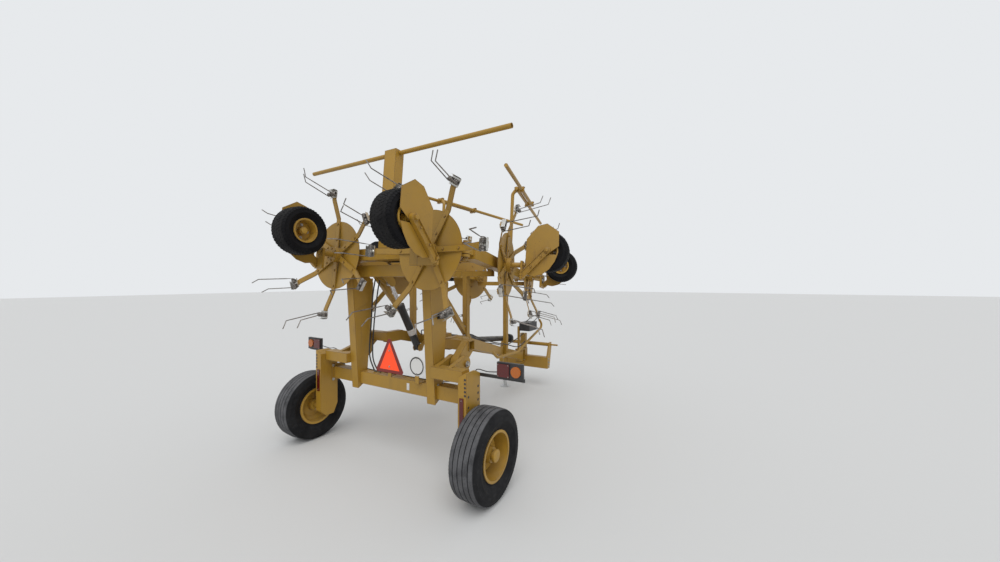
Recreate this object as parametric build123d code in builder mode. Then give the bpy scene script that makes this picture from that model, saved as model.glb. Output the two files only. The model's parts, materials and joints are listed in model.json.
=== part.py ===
from build123d import *

import os
from math import cos, radians, sin

os.makedirs("parts", exist_ok=True)

# Trailed folding hay tedder with six rotors, folded, standing on its transport wheels and jack.
# Row frame: X to the right, Y forward, Z up, millimetres. The ground is z = 0.
axle_y = -1400

# Transport wheels, 10.0/75-15.3 implement tyres
track = 2412
tyre_diameter = 760
tyre_width = 264
rim_diameter = 414
rim_width = 216
wheel_bore = 66
axle_z = tyre_diameter / 2
tyre_groove = 9
tyre_groove_depth = 14
groove_stations = (-69, -23, 23, 69)
stud_circle = 204
stud_count = 6
stud_size = 26
stud_reach = 18

# Gauge wheels, 18x8.50-8 turf tyres
gauge_diameter = 457
gauge_width = 216
gauge_rim_diameter = 232
gauge_bore = 42
gauge_bead = 86
gauge_rim_half = 95
rim_lip = 6

# Working unit. Its own frame lies in the rotors' plane: x right, y forward at work, z up at work.
lean = 5
disc_y = axle_y - 80
disc_z = 2100
rotor_spacing = 1300
disc_diameter = 730
disc_plate = 4
disc_dish = 24
hub_diameter = 160
hub_top = 52
hub_bottom = -60
hub_bore = 60
hub_weld = 5
arm_count = 6
arm_width = 55
arm_plate = 12
arm_root = 60
arm_reach = 672
arm_bend = 30
arm_flat = 85
arm_skew = 4
arm_drop = 70
tine_wire = 10
tine_reach = 785
tine_depth = 470
clamp_inset = 32
clamp_half = 30
clamp_width = 52
coil_radius = 24
coil_length = 42
coil_gap = 44
leg_spread = 116
beam_size = 120
beam_floor = 60
beam_half_length = 885
housing_radius = 85
housing_height = 34

# Wing fold
hinge_x = 960
hinge_z = beam_floor + beam_size / 2
fold_angle = 104
hinge_pin = 36
hinge_pin_head = 8
ear_thickness = 25
ear_radius = 46
pin_gap = 1
side_gap = 5
weld = 5
wing_root = 1060
wing_overhang = 170
wing_tip = 2.5 * rotor_spacing + wing_overhang

# Gauge wheel carriers
wheel_trail = 160
wheel_depth = 460
strut_width = 70
strut_thickness = 40
strut_gap = 12
strut_foot_y = 130
strut_foot_z = -165
foot_plate = 25
foot_half = 45
foot_reach = 35
spindle_diameter = 59
gauge_axle_diameter = 40
axle_end = 75
guard_plate = 4
shield_radius = 190
shield_y = -60
shield_z = -400
# y, z
guard_outline = [
    (95, -200),
    (-290, -210),
    (-335, -250),
    (-440, -312),
    (-482, -430),
    (-450, -520),
    (-370, -578),
    (-230, -578),
    (-150, -500),
    (60, -290),
]

# Guard mast, its cross tube and the wings' guard tubes
mast_width = 160
mast_height = 110
mast_end = -1078
guard_y = -1050
guard_tube = 45
guard_wall = 4
guard_half = 1380
open_end = 60
wing_guard_start = 1730
wing_guard_end = 3260
wing_guard_y = -1080
extension_start = 2480
extension_end = 4410
extension_rise = guard_tube + 12
tube_clamp_inset = 60
tube_clamp_half = 18
tube_clamp_reach = 34
support_x = 2540
support_bend = 50

# Rear frame that carries the working unit and the transport wheels
pivot_y = axle_y + 280
pivot_z = 1025
pivot_pin = 60
cheek_radius = 72
post_x = 540
post_width = 100
leg_width = 90
wheel_gap = 29
leg_inner_x = track / 2 - tyre_width / 2 - wheel_gap - leg_width
leg_rear_y = axle_y - 60
leg_depth = 210
leg_top = 1035
leg_foot = 290
leg_slope = 40
axle_beam_y = axle_y + 160
axle_beam_z = 765
axle_beam_depth = 120
axle_beam_height = 130
stub_diameter = 64
stub_end = track / 2 + 80
stub_flange = 48
stub_flange_reach = 22
flange = 12
flange_margin = 25
flange_half_height = 95
lift_lug = 12
lift_lug_half = 42
cheeks = ((600, 650), (750, 800))
cheek_pin_reach = 14
cheek_pin_wall = 8
cheek_pin_hollow = 90
member_z = (1865, 1985)
member_depth = 150

# Lamps, signs and reflectors
lamp_y = axle_y + 112
lamp_bar = 6
lamp_bar_length = 490
lamp_bar_start = leg_inner_x + leg_width / 2
lamp_bar_x = (lamp_bar_start, lamp_bar_start + lamp_bar_length)
lamp_bar_z = (970, 1000)
lamp_width = 250
lamp_margin = 5
lamp_box_x = (lamp_bar_x[1] - lamp_margin - lamp_width, lamp_bar_x[1] - lamp_margin)
lamp_box_z = (985, 1125)
lens = 12
lens_margin = 10
red_lens_width = 113
red_lens_x = (lamp_box_x[0] + lens_margin, lamp_box_x[0] + lens_margin + red_lens_width)
red_lens_z = (1000, 1112)
amber_inset = 63
amber_lens_x = lamp_box_x[1] - amber_inset
amber_lens_z = 1056
amber_lens_radius = 46
amber_lens_depth = 14
reflector = 8
reflector_x = (leg_inner_x + 20, leg_inner_x + 60)
reflector_z = (580, 820)
sign_plate = 3
sign_bar_width = 50
sign_bar_plate = 8
triangle_bar_x = -40
triangle_bar_top = 1130
triangle_x = -40
triangle_z = (870, 896, 1220)
triangle_half = (181, 195, 18)
speed_sign_x = 385
speed_sign_z = 1000
speed_sign_radius = 95
speed_bar_top = 1060
sign_y = axle_y + 48

# Drawbar
cross_tube_y = axle_y + 450
cross_tube_z = 1170
cross_tube_size = 100
cross_tube_wall = 8
cross_tube_half = 750
lug_x = 700
lug_width = 80
rail_x = 450
rail_width = 80
rail_height = 120
rail_drop = 0.27
bend_y = axle_y + 650
rails_end_x = 48
cross_tube_inner = 410
cross_tube_open = 150
bracket_rise = 40
member_y = axle_y + 900
member_half = 360
member_half_depth = 35
member_half_rise = 45
nose_y = axle_y + 2200
nose_size = 130
hitch_y = axle_y + 3000
hitch_pin = 50
head_half = 450
link_pin = 28
link_shaft_z = 720
jack_x = -220
jack_y = hitch_y - 120
jack_tube = 60
jack_sleeve = 76
jack_sleeve_z = (400, 820)
jack_bracket_half = 30
jack_foot_radius = 85
jack_foot_plate = 12
jack_ground = 10
jack_top = 800
eye_radius = 60
eye_half = 90
nose_weld = 40
box_post_x = (30, 60)
box_post_y = (hitch_y - 140, hitch_y - 100)
box_z = (980, 1120)
box_x = (60, 250)
box_y = (hitch_y - 130, hitch_y + 170)
box_post_top = 1050

# Wing rests and the two raking stays
rest_post_x = (380, 440)
rest_y = (axle_y + 800, axle_y + 860)
rest_post_foot = 1130
rest_bar_half = 770
rest_bar_z = (1872, 1932)
rest_overlap = 10
front_rest_y = (axle_y + 2300, axle_y + 2360)
front_rest_foot = 660
front_rest_width = 60
front_rest_half = 400
front_rest_bar_z = (1750, 1810)
stay_x = 400
stay_size = 50
stay_foot = (member_y + 70, 1060)
stay_slope = 1.116
stay_gap = 7

# Hitch head
head_pin_z = (120, 125)
fork_half = 60
fork_plate = 20
fork_rear = 50
fork_low = 115
fork_high = 95
head_depth = 100
head_beam_z = (330, 520)
mast_post_half = 45
mast_post_top = 900
end_plate = 20
link_boss = 30
link_reach = 150
link_back = 250

# Input gearbox, drive shaft and hose guide
gearbox_half = 95
gearbox_depth = 175
gearbox_z = (1040, 1250)
saddle_half = 80
saddle_reach = 50
saddle_plate = 40
saddle_low = 1005
shaft_rear_z = 1075
shaft_front_y = hitch_y - 350
shaft_front_z = 880
# start share, end share, radius
shaft_steps = [
    (0, 0.12, 78),
    (0.1, 0.26, 40),
    (0.24, 0.34, 62),
    (0.33, 0.98, 40),
    (0.96, 1, 66),
]
guide_x = 200
guide_tube = 40
guide_bend = 60
# y from the axle, z
guide_route = [(1650, 900), (1900, 720), (2550, 690), (2750, 760), (3550, 1000), (3400, 1120)]

# Lift cylinder in the plane x = lift_x, from the drawbar up to the rear frame
lift_x = -300
lift_foot = (member_y - 100, 1000)
lift_head = (axle_y + 354, 1800)
lift_bore = 90
lift_rod = 45
lift_barrel_length = 620
lift_rod_length = 747
lift_eye_width = 60
lift_pin = 30
lift_eye = 76

# Fold cylinders, in the working frame
fold_foot_x = 130
fold_foot_z = 262
fold_head_x = 1300
fold_head_z = 310
fold_y = 32
fold_bore = 44
fold_rod = 32
fold_barrel_length = 740
fold_rod_length = 756
fold_eye_width = 30
fold_pin = 24
fold_lug = 8
fold_lug_offset = 22
fold_eye = 60

# Hydraulic cylinders
barrel_wall = 6
barrel_foot = 14
barrel_floor = 6
gland_length = 40
gland_lip = 4
piston_length = 25
rod_clearance = 0.5

work = Plane(
    origin=(0, disc_y, disc_z),
    x_dir=(1, 0, 0),
    z_dir=(0, cos(radians(lean)), -sin(radians(lean))),
)


def folded(side):
    """Place of a wing, side +1 right and -1 left, swung up about its hinge; 0 is the centre."""
    swing = Location((side * hinge_x, 0, hinge_z)) * Location((0, 0, 0), (0, -side * fold_angle, 0))
    return work.location * swing * Location((-side * hinge_x, 0, -hinge_z))


def in_row(y, z):
    """Row Y and Z of a point of the working frame."""
    point = work.from_local_coords(Vector(0, y, z))
    return point.Y, point.Z


def bar(start, end, width, height):
    """Straight box-section bar between two points, its width level."""
    run = Vector(*end) - Vector(*start)
    level = run.cross(Vector(0, 0, 1))
    if level.length < 1:
        level = Vector(1, 0, 0)
    with BuildSketch(Plane(origin=start, x_dir=level, z_dir=run)) as section:
        Rectangle(width, height)
    extrude(section.sketch, amount=run.length)


def rod(start, end, radius):
    """Straight round bar between two points."""
    run = Vector(*end) - Vector(*start)
    with BuildSketch(Plane(origin=start, z_dir=run)) as section:
        Circle(radius)
    extrude(section.sketch, amount=run.length)


def block(x, y, z):
    """Box from three (low, high) ranges."""
    with Locations(((x[0] + x[1]) / 2, (y[0] + y[1]) / 2, (z[0] + z[1]) / 2)):
        Box(abs(x[1] - x[0]), abs(y[1] - y[0]), abs(z[1] - z[0]))


def side_plate(x, thickness, points):
    """Flat plate in the plane X = x, centred on it, from (y, z) points."""
    with BuildSketch(Plane.YZ.offset(x)) as outline:
        with BuildLine():
            Polyline(*points, close=True)
        make_face()
    extrude(outline.sketch, amount=thickness / 2, both=True)


def disc(x, y, z, radius, thickness):
    """Round plate in the plane X = x, centred on it."""
    with BuildSketch(Plane.YZ.offset(x)) as outline:
        with Locations((y, z)):
            Circle(radius)
    extrude(outline.sketch, amount=thickness / 2, both=True)


def save(piece, name):
    piece.part.label = name
    export_step(piece.part, "parts/" + name + ".step")


def place(master, name, location):
    """Copy of a finished part at a location, saved under its own name."""
    with BuildPart() as copy:
        with Locations(location):
            add(master.part)
    save(copy, name)


# name, side (0 centre, +1 right wing, -1 left wing), station, arm phase, wheel shift, strut side
rotor_table = [
    ("1", 0, -0.5 * rotor_spacing, 30, 80, -1),
    ("2", 0, 0.5 * rotor_spacing, 0, 100, 1),
    ("3", 1, 1.5 * rotor_spacing, 30, 100, 1),
    ("4", 1, 2.5 * rotor_spacing, 0, 100, 1),
    ("5", -1, -1.5 * rotor_spacing, 0, 80, -1),
    ("6", -1, -2.5 * rotor_spacing, 30, 80, -1),
]

# Rotor: dished disc, hub and six flat arms in one welded and bolted unit
with BuildPart() as rotor:
    with BuildSketch(Plane.XZ):
        with BuildLine():
            Polyline(
                (hub_diameter / 2 - hub_weld, disc_dish),
                (disc_diameter / 2, 0),
                (disc_diameter / 2, disc_plate),
                (hub_diameter / 2 - hub_weld, disc_dish + disc_plate),
                close=True,
            )
        make_face()
    revolve(axis=Axis.Z)
    with BuildSketch(Plane.XY.offset(hub_bottom)):
        Circle(hub_diameter / 2)
    extrude(amount=hub_top - hub_bottom)
    with BuildSketch(Plane.XZ):
        with BuildLine():
            Polyline(
                (arm_root, 1),
                (disc_diameter / 2 + arm_bend, 1),
                (arm_reach - arm_flat, -arm_drop),
                (arm_reach, -arm_drop),
                (arm_reach, -arm_drop - arm_plate),
                (arm_reach - arm_flat - arm_skew, -arm_drop - arm_plate),
                (disc_diameter / 2 + arm_bend - arm_skew, 1 - arm_plate),
                (arm_root, 1 - arm_plate),
                close=True,
            )
        make_face()
    arm = extrude(amount=arm_width / 2, both=True, mode=Mode.PRIVATE)
    with PolarLocations(0, arm_count):
        add(arm)
    with BuildSketch(Plane.XY.offset(hub_bottom)):
        Circle(hub_bore / 2)
    extrude(amount=hub_top - hub_bottom, mode=Mode.SUBTRACT)

# Double tine: clamp, twin coil and two spring legs, six to a rotor
clamp_r = arm_reach - clamp_inset
coil_z = -arm_drop - arm_plate - coil_radius
# leg side, bend radius, bend depth, tip radius, tip depth
tine_legs = [
    (1, tine_reach - 50, tine_depth - 75, tine_reach, tine_depth),
    (-1, tine_reach - 56, tine_depth - 125, tine_reach - 12, tine_depth - 60),
]
with BuildPart() as tine:
    block(
        (clamp_r - clamp_half, clamp_r + clamp_half),
        (-clamp_width / 2, clamp_width / 2),
        (coil_z, -arm_drop - arm_plate),
    )
    for side, bend_r, bend_z, tip_r, tip_z in tine_legs:
        with BuildSketch(Plane(origin=(clamp_r, side * coil_gap / 2, coil_z), z_dir=(0, side, 0))):
            Circle(coil_radius)
        extrude(amount=coil_length)
        leg_y = side * leg_spread / 2
        rod((clamp_r + coil_radius - tine_wire / 2, leg_y, coil_z), (bend_r, leg_y, -bend_z), tine_wire / 2)
        rod((bend_r, leg_y, -bend_z), (tip_r, leg_y, -tip_z), tine_wire / 2)
with BuildPart() as tine_set:
    with PolarLocations(0, arm_count):
        add(tine.part)

for name, side, station, phase, shift, strut_side in rotor_table:
    spot = folded(side) * Location((station, 0, 0), (0, 0, phase))
    place(rotor, "rotor_" + name, spot)
    place(tine_set, "tines_" + name, spot)

# Gauge wheel, its axle along X; profiles as x, radius, mirrored to the other side
gauge_bead_radius = gauge_rim_diameter / 2
gauge_tyre_half = [
    (gauge_bead, gauge_bead_radius - rim_lip),
    (gauge_bead, gauge_bead_radius + 10),
    (gauge_width / 2, gauge_diameter / 2 - 60),
    (gauge_width / 2 - 6, gauge_diameter / 2 - 23),
    (gauge_width / 2 - 40, gauge_diameter / 2 - 4),
]
gauge_rim_side = [
    (60, gauge_bore / 2),
    (60, 38),
    (12, 38),
    (12, 92),
    (gauge_rim_half, 100),
    (gauge_rim_half, gauge_bead_radius),
    (gauge_bead, gauge_bead_radius),
    (gauge_bead, gauge_bead_radius - rim_lip),
]
with BuildPart() as gauge_tyre:
    with BuildSketch(Plane.XY):
        with BuildLine():
            crown = [(0, gauge_diameter / 2)]
            mirrored = [(-x, radius) for x, radius in gauge_tyre_half]
            Polyline(*(gauge_tyre_half + crown + mirrored[::-1]), close=True)
        make_face()
    revolve(axis=Axis.X)
with BuildPart() as gauge_rim:
    with BuildSketch(Plane.XY):
        with BuildLine():
            mirrored = [(-x, radius) for x, radius in gauge_rim_side]
            Polyline(*(gauge_rim_side + mirrored[::-1]), close=True)
        make_face()
    revolve(axis=Axis.X)
for name, side, station, phase, shift, strut_side in rotor_table:
    spot = folded(side) * Location((station + shift, -wheel_trail, -wheel_depth))
    place(gauge_tyre, "gauge_tyre_" + name, spot)
    place(gauge_rim, "gauge_rim_" + name, spot)


def strut(shift, side):
    """Gauge wheel carrier under one rotor: spindle, foot, channel, axle and guard plates."""
    x = shift + side * (gauge_width / 2 + strut_gap + strut_thickness / 2)
    rod((0, 0, beam_floor), (0, 0, strut_foot_z - foot_plate), spindle_diameter / 2)
    floor = (strut_foot_z - foot_plate, strut_foot_z)
    block((-foot_half, foot_half), (-foot_half, strut_foot_y + foot_reach), floor)
    crosswise = (min(0, x - strut_thickness / 2), max(0, x + strut_thickness / 2))
    block(crosswise, (strut_foot_y - foot_reach, strut_foot_y + foot_reach), floor)
    bar(
        (x, strut_foot_y, strut_foot_z - foot_plate / 2),
        (x, -wheel_trail, -wheel_depth),
        strut_thickness,
        strut_width,
    )
    inner_end = shift - side * axle_end
    rod((x, -wheel_trail, -wheel_depth), (inner_end, -wheel_trail, -wheel_depth), gauge_axle_diameter / 2)
    disc(x, -wheel_trail, -wheel_depth, strut_width / 2, strut_thickness)
    side_plate(x + side * (strut_thickness + guard_plate) / 2, guard_plate, guard_outline)
    disc(x - side * (strut_thickness + guard_plate) / 2, shield_y, shield_z, shield_radius, guard_plate)


with BuildPart() as strut_right:
    strut(100, 1)
with BuildPart() as strut_left:
    strut(80, -1)
for body, side in (("centre_struts", 0), ("wing_struts_right", 1), ("wing_struts_left", -1)):
    with BuildPart() as pair:
        for name, host, station, phase, shift, strut_side in rotor_table:
            if host == side:
                with Locations(folded(side) * Location((station, 0, 0))):
                    add(strut_right.part if strut_side > 0 else strut_left.part)
    save(pair, body)

def housing(x):
    """Gearbox housing on top of a beam, over one rotor."""
    top = beam_floor + beam_size
    rod((x, 0, top - weld), (x, 0, top + housing_height), housing_radius)


def ear(x, y, root_x):
    """Hinge ear or tongue outline in a plane across the beam; root_x is its welded edge."""
    with BuildSketch(Plane.XZ.offset(-y)) as outline:
        with Locations((x, hinge_z)):
            Circle(ear_radius)
        with Locations(((x + root_x) / 2, hinge_z)):
            Rectangle(abs(x - root_x), 2 * ear_radius)
    return outline.sketch


def fold_lugs(x, middle_y, z):
    """Pair of lugs on top of a beam for one eye of a fold cylinder."""
    top = beam_floor + beam_size
    for y in (middle_y - fold_lug_offset, middle_y + fold_lug_offset):
        with BuildSketch(Plane.XZ.offset(-y)) as outline:
            with Locations((x, z)):
                Circle(fold_eye / 2)
            with Locations((x, (top + z) / 2)):
                Rectangle(fold_eye, z - top)
        extrude(outline.sketch, amount=fold_lug / 2, both=True)


# Centre beam: box section, gearbox housings and the hinge ears at both ends
with BuildPart() as centre_beam_work:
    block(
        (-beam_half_length, beam_half_length),
        (-beam_size / 2, beam_size / 2),
        (beam_floor, beam_floor + beam_size),
    )
    for side in (-1, 1):
        housing(side * rotor_spacing / 2)
        for y in (-beam_size / 2 + ear_thickness / 2, beam_size / 2 - ear_thickness / 2):
            extrude(ear(side * hinge_x, y, side * beam_half_length), amount=ear_thickness / 2, both=True)
        pin_half = beam_size / 2 + hinge_pin_head
        rod((side * hinge_x, -pin_half, hinge_z), (side * hinge_x, pin_half, hinge_z), hinge_pin / 2)
        foot_y = side * fold_y
        fold_lugs(-side * fold_foot_x, foot_y, fold_foot_z)
        pin_half = fold_lug_offset + fold_lug / 2
        rod(
            (-side * fold_foot_x, foot_y - pin_half, fold_foot_z),
            (-side * fold_foot_x, foot_y + pin_half, fold_foot_z),
            fold_pin / 2,
        )
place(centre_beam_work, "centre_beam", work.location)

# Guard mast: upright box and the long rear guard tube that crosses its end
with BuildPart() as guard_mast_work:
    block((-mast_width / 2, mast_width / 2), (mast_end, -beam_size / 2), (beam_floor, beam_floor + mast_height))
    rod((-guard_half, guard_y, hinge_z), (guard_half, guard_y, hinge_z), guard_tube / 2)
    for side in (-1, 1):
        with BuildSketch(Plane(origin=(side * guard_half, guard_y, hinge_z), z_dir=(-side, 0, 0))):
            Circle(guard_tube / 2 - guard_wall)
        extrude(amount=open_end, mode=Mode.SUBTRACT)
place(guard_mast_work, "guard_mast", work.location)

# Wings: tapering box beam with the hinge tongue, gearbox housings and the fold cylinder's ears
for side, name in ((1, "right"), (-1, "left")):
    with BuildPart() as wing_beam:
        block(
            (side * wing_root, side * wing_tip),
            (-beam_size / 2, beam_size / 2),
            (beam_floor, beam_floor + beam_size),
        )
        tongue = beam_size / 2 - ear_thickness - side_gap
        extrude(ear(side * hinge_x, 0, side * wing_root), amount=tongue, both=True)
        with BuildSketch(Plane.XZ.offset(-beam_size)):
            with Locations((side * hinge_x, hinge_z)):
                Circle(hinge_pin / 2 + pin_gap)
        extrude(amount=2 * beam_size, mode=Mode.SUBTRACT)
        housing(side * 1.5 * rotor_spacing)
        housing(side * 2.5 * rotor_spacing)
        fold_lugs(side * fold_head_x, side * fold_y, fold_head_z)
    place(wing_beam, "wing_beam_" + name, folded(side))

    with BuildPart() as wing_guard:
        rod((side * wing_guard_start, wing_guard_y, 0), (side * wing_guard_end, wing_guard_y, 0), guard_tube / 2)
        rod(
            (side * extension_start, wing_guard_y, extension_rise),
            (side * extension_end, wing_guard_y, extension_rise),
            guard_tube / 2,
        )
        for x in (extension_start + tube_clamp_inset, wing_guard_end - tube_clamp_inset):
            block(
                (side * (x - tube_clamp_half), side * (x + tube_clamp_half)),
                (wing_guard_y - tube_clamp_reach, wing_guard_y + tube_clamp_reach),
                (-tube_clamp_reach, extension_rise + tube_clamp_reach),
            )
        with BuildLine() as support_route:
            FilletPolyline(
                (side * support_x, -beam_size / 2, hinge_z),
                (side * support_x, wing_guard_y + support_bend + 10, hinge_z),
                (side * support_x, wing_guard_y, extension_rise + 18),
                radius=support_bend,
            )
        with BuildSketch(Plane(origin=(side * support_x, -beam_size / 2, hinge_z), z_dir=(0, -1, 0))):
            Circle(guard_tube / 2)
        sweep(path=support_route.wires()[0])
    place(wing_guard, "wing_guard_" + name, folded(side))


def cylinder(foot, head, pin_dir, size, pin):
    """Hydraulic cylinder from its foot pin to its head pin; returns barrel, rod and their place."""
    bore, rod_size, barrel_length, rod_length, eye, eye_width = size
    run = (head - foot).length
    across = Plane.YZ.offset(-eye_width / 2)
    with BuildPart() as barrel:
        with BuildSketch(across) as foot_eye:
            Circle(eye / 2)
        extrude(foot_eye.sketch, amount=eye_width)
        with BuildSketch(Plane.XY) as neck:
            Rectangle(eye_width, 0.8 * eye)
        extrude(neck.sketch, amount=eye / 2 + barrel_foot + barrel_floor / 2)
        with BuildSketch(Plane.XY.offset(eye / 2 + barrel_foot)) as tube:
            Circle(bore / 2 + barrel_wall)
        extrude(tube.sketch, amount=barrel_length - gland_length - eye / 2 - barrel_foot)
        with BuildSketch(Plane.XY.offset(barrel_length - gland_length)) as gland:
            Circle(bore / 2 + barrel_wall + gland_lip)
        extrude(gland.sketch, amount=gland_length)
        with BuildSketch(across) as pin_hole:
            Circle(pin / 2 + rod_clearance)
        extrude(pin_hole.sketch, amount=eye_width, mode=Mode.SUBTRACT)
        with BuildSketch(Plane.XY.offset(eye / 2 + barrel_foot + barrel_floor)) as hollow:
            Circle(bore / 2)
        extrude(
            hollow.sketch,
            amount=barrel_length - gland_length - eye / 2 - barrel_foot - barrel_floor,
            mode=Mode.SUBTRACT,
        )
        with BuildSketch(Plane.XY.offset(barrel_length - gland_length - 1)) as gland_hole:
            Circle(rod_size / 2 + rod_clearance)
        extrude(gland_hole.sketch, amount=gland_length + 2, mode=Mode.SUBTRACT)
    with BuildPart() as plunger:
        with BuildSketch(Plane.XY.offset(run - rod_length)) as piston:
            Circle(bore / 2 - rod_clearance)
        extrude(piston.sketch, amount=piston_length)
        with BuildSketch(Plane.XY.offset(run - rod_length)) as shaft:
            Circle(rod_size / 2)
        extrude(shaft.sketch, amount=rod_length)
        with BuildSketch(across) as head_eye:
            with Locations((0, run)):
                Circle(eye / 2)
        extrude(head_eye.sketch, amount=eye_width)
    return barrel, plunger, Plane(origin=foot, x_dir=pin_dir, z_dir=head - foot)


# Lift cylinder: its foot pin is on the drawbar, its rod's eye between the rear frame's lugs
lift_size = (lift_bore - 2 * barrel_wall, lift_rod, lift_barrel_length, lift_rod_length, lift_eye, lift_eye_width)
lift_barrel, lift_plunger, lift_plane = cylinder(
    Vector(lift_x, *lift_foot), Vector(lift_x, *lift_head), (1, 0, 0), lift_size, lift_pin
)
place(lift_barrel, "lift_barrel", lift_plane.location)
place(lift_plunger, "lift_rod", lift_plane.location)

# Fold cylinders: the foot pin is on the centre beam, the rod's eye between the wing's ears
fold_size = (fold_bore, fold_rod, fold_barrel_length, fold_rod_length, fold_eye, fold_eye_width)
for side, name in ((1, "right"), (-1, "left")):
    foot = work.from_local_coords(Vector(-side * fold_foot_x, side * fold_y, fold_foot_z))
    head = (folded(side) * Location((side * fold_head_x, side * fold_y, fold_head_z))).position
    fold_barrel, fold_plunger, fold_plane = cylinder(foot, head, work.y_dir, fold_size, fold_pin)
    place(fold_barrel, "fold_barrel_" + name, fold_plane.location)
    place(fold_plunger, "fold_rod_" + name, fold_plane.location)

# Transport wheel, its axle along X and its open side outward; profiles as x, radius
tread = tyre_diameter / 2
shoulder = tyre_width / 2
bead = rim_diameter / 2
rim_half = rim_width / 2 - 2
bead_half = rim_half - 8
tyre_half = [
    (bead_half, bead - 8),
    (bead_half, bead + 12),
    (shoulder, bead + 75),
    (shoulder - 4, tread - 45),
    (shoulder - 22, tread - 12),
    (shoulder - 40, tread - 5),
]
rim_profile = [
    (-70, wheel_bore / 2),
    (-70, 62),
    (-8, 62),
    (-8, 130),
    (-40, 168),
    (-rim_half, 180),
    (-rim_half, bead),
    (-bead_half, bead),
    (-bead_half, bead - 8),
    (bead_half, bead - 8),
    (bead_half, bead),
    (rim_half, bead),
    (rim_half, 184),
    (-30, 172),
    (4, 134),
    (4, 75),
    (62, 62),
    (62, wheel_bore / 2),
]
with BuildPart() as road_tyre:
    with BuildSketch(Plane.XY):
        with BuildLine():
            mirrored = [(-x, radius) for x, radius in tyre_half]
            Polyline(*(tyre_half + [(0, tread)] + mirrored[::-1]), close=True)
        make_face()
        with Locations(*[(x, tread) for x in groove_stations]):
            Rectangle(tyre_groove, 2 * tyre_groove_depth, mode=Mode.SUBTRACT)
    revolve(axis=Axis.X)
with BuildPart() as road_rim:
    with BuildSketch(Plane.XY):
        with BuildLine():
            Polyline(*rim_profile, close=True)
        make_face()
    revolve(axis=Axis.X)
    with BuildSketch(Plane.YZ.offset(4)):
        with PolarLocations(stud_circle / 2, stud_count):
            RegularPolygon(stud_size / 2, 6)
    extrude(amount=stud_reach)
for side, name in ((1, "right"), (-1, "left")):
    spot = Location((side * track / 2, axle_y, axle_z), (0, 0, 90 - 90 * side))
    place(road_tyre, "road_tyre_" + name, spot)
    place(road_rim, "road_rim_" + name, spot)

# Axle beam, with the flat bars that carry the warning signs
beam_rear = axle_beam_y - axle_beam_depth / 2
beam_front = axle_beam_y + axle_beam_depth / 2
beam_top = axle_beam_z + axle_beam_height / 2
beam_end = leg_inner_x - flange
with BuildPart() as axle_beam:
    block((-beam_end, beam_end), (beam_rear, beam_front), (beam_top - axle_beam_height, beam_top))
    bar_x = (triangle_bar_x - sign_bar_width / 2, triangle_bar_x + sign_bar_width / 2)
    block(bar_x, (beam_rear, beam_rear + sign_bar_plate), (beam_top - weld, triangle_bar_top))
    bar_x = (speed_sign_x - sign_bar_width / 2, speed_sign_x + sign_bar_width / 2)
    block(bar_x, (sign_y, beam_rear + 5 * sign_bar_plate), (beam_top - 1, beam_top + sign_bar_plate - 1))
    block(bar_x, (sign_y, sign_y + sign_bar_plate - 1), (beam_top - 1, speed_bar_top))
save(axle_beam, "axle_beam")

# Wheel legs: folded box legs with a sloping top, arms to the posts, pivot cheeks and stub axles
leg_front_y = leg_rear_y + leg_depth
arm_y = (axle_y, axle_y + 110)
arm_z = (925, 1030)
pin_end = cheeks[1][1] + cheek_pin_reach
leg_outer_x = leg_inner_x + leg_width
# y, z
leg_outline = [
    (leg_rear_y, leg_foot + 60),
    (leg_rear_y + 60, leg_foot),
    (leg_front_y - 50, leg_foot),
    (leg_front_y, leg_foot + 110),
    (leg_front_y, leg_top - 35),
    (leg_front_y - 70, leg_top),
    (leg_rear_y, leg_top),
]
with BuildPart() as wheel_legs:
    for side in (-1, 1):
        side_plate(side * (leg_inner_x + leg_width / 2), leg_width, leg_outline)
        with BuildSketch(Plane.XZ.offset(-leg_front_y)) as slope:
            with BuildLine():
                Polyline(
                    (side * (leg_inner_x - 1), leg_top - leg_slope),
                    (side * (leg_outer_x - leg_slope / 2), leg_top + 1),
                    (side * (leg_inner_x - 1), leg_top + 1),
                    close=True,
                )
            make_face()
        extrude(slope.sketch, amount=leg_depth, mode=Mode.SUBTRACT)
        block(
            (side * beam_end, side * leg_inner_x),
            (beam_rear - flange_margin, beam_front + flange_margin),
            (axle_beam_z - flange_half_height, axle_beam_z + flange_half_height),
        )
        hub_face = leg_outer_x + stub_flange_reach
        rod((side * (leg_outer_x - 1), axle_y, axle_z), (side * hub_face, axle_y, axle_z), stub_flange)
        rod((side * leg_outer_x, axle_y, axle_z), (side * stub_end, axle_y, axle_z), stub_diameter / 2)
        block((side * (post_x + post_width / 2), side * (leg_inner_x + 1)), arm_y, arm_z)
        for low, high in cheeks:
            with BuildSketch(Plane.YZ.offset(side * (low + high) / 2)) as cheek:
                with Locations((pivot_y, pivot_z)):
                    Circle(cheek_radius)
                with BuildLine():
                    Polyline(
                        (arm_y[1] - 60, arm_z[1]),
                        (arm_y[1] - 60, arm_z[0]),
                        (pivot_y, pivot_z - cheek_radius),
                        (pivot_y, pivot_z + cheek_radius),
                        close=True,
                    )
                make_face()
            extrude(cheek.sketch, amount=(high - low) / 2, both=True)
        rod((side * cheeks[0][0], pivot_y, pivot_z), (side * pin_end, pivot_y, pivot_z), pivot_pin / 2)
        with BuildSketch(Plane(origin=(side * pin_end, pivot_y, pivot_z), z_dir=(-side, 0, 0))) as hollow:
            Circle(pivot_pin / 2 - cheek_pin_wall)
        extrude(hollow.sketch, amount=cheek_pin_hollow, mode=Mode.SUBTRACT)
save(wheel_legs, "wheel_legs")

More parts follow.
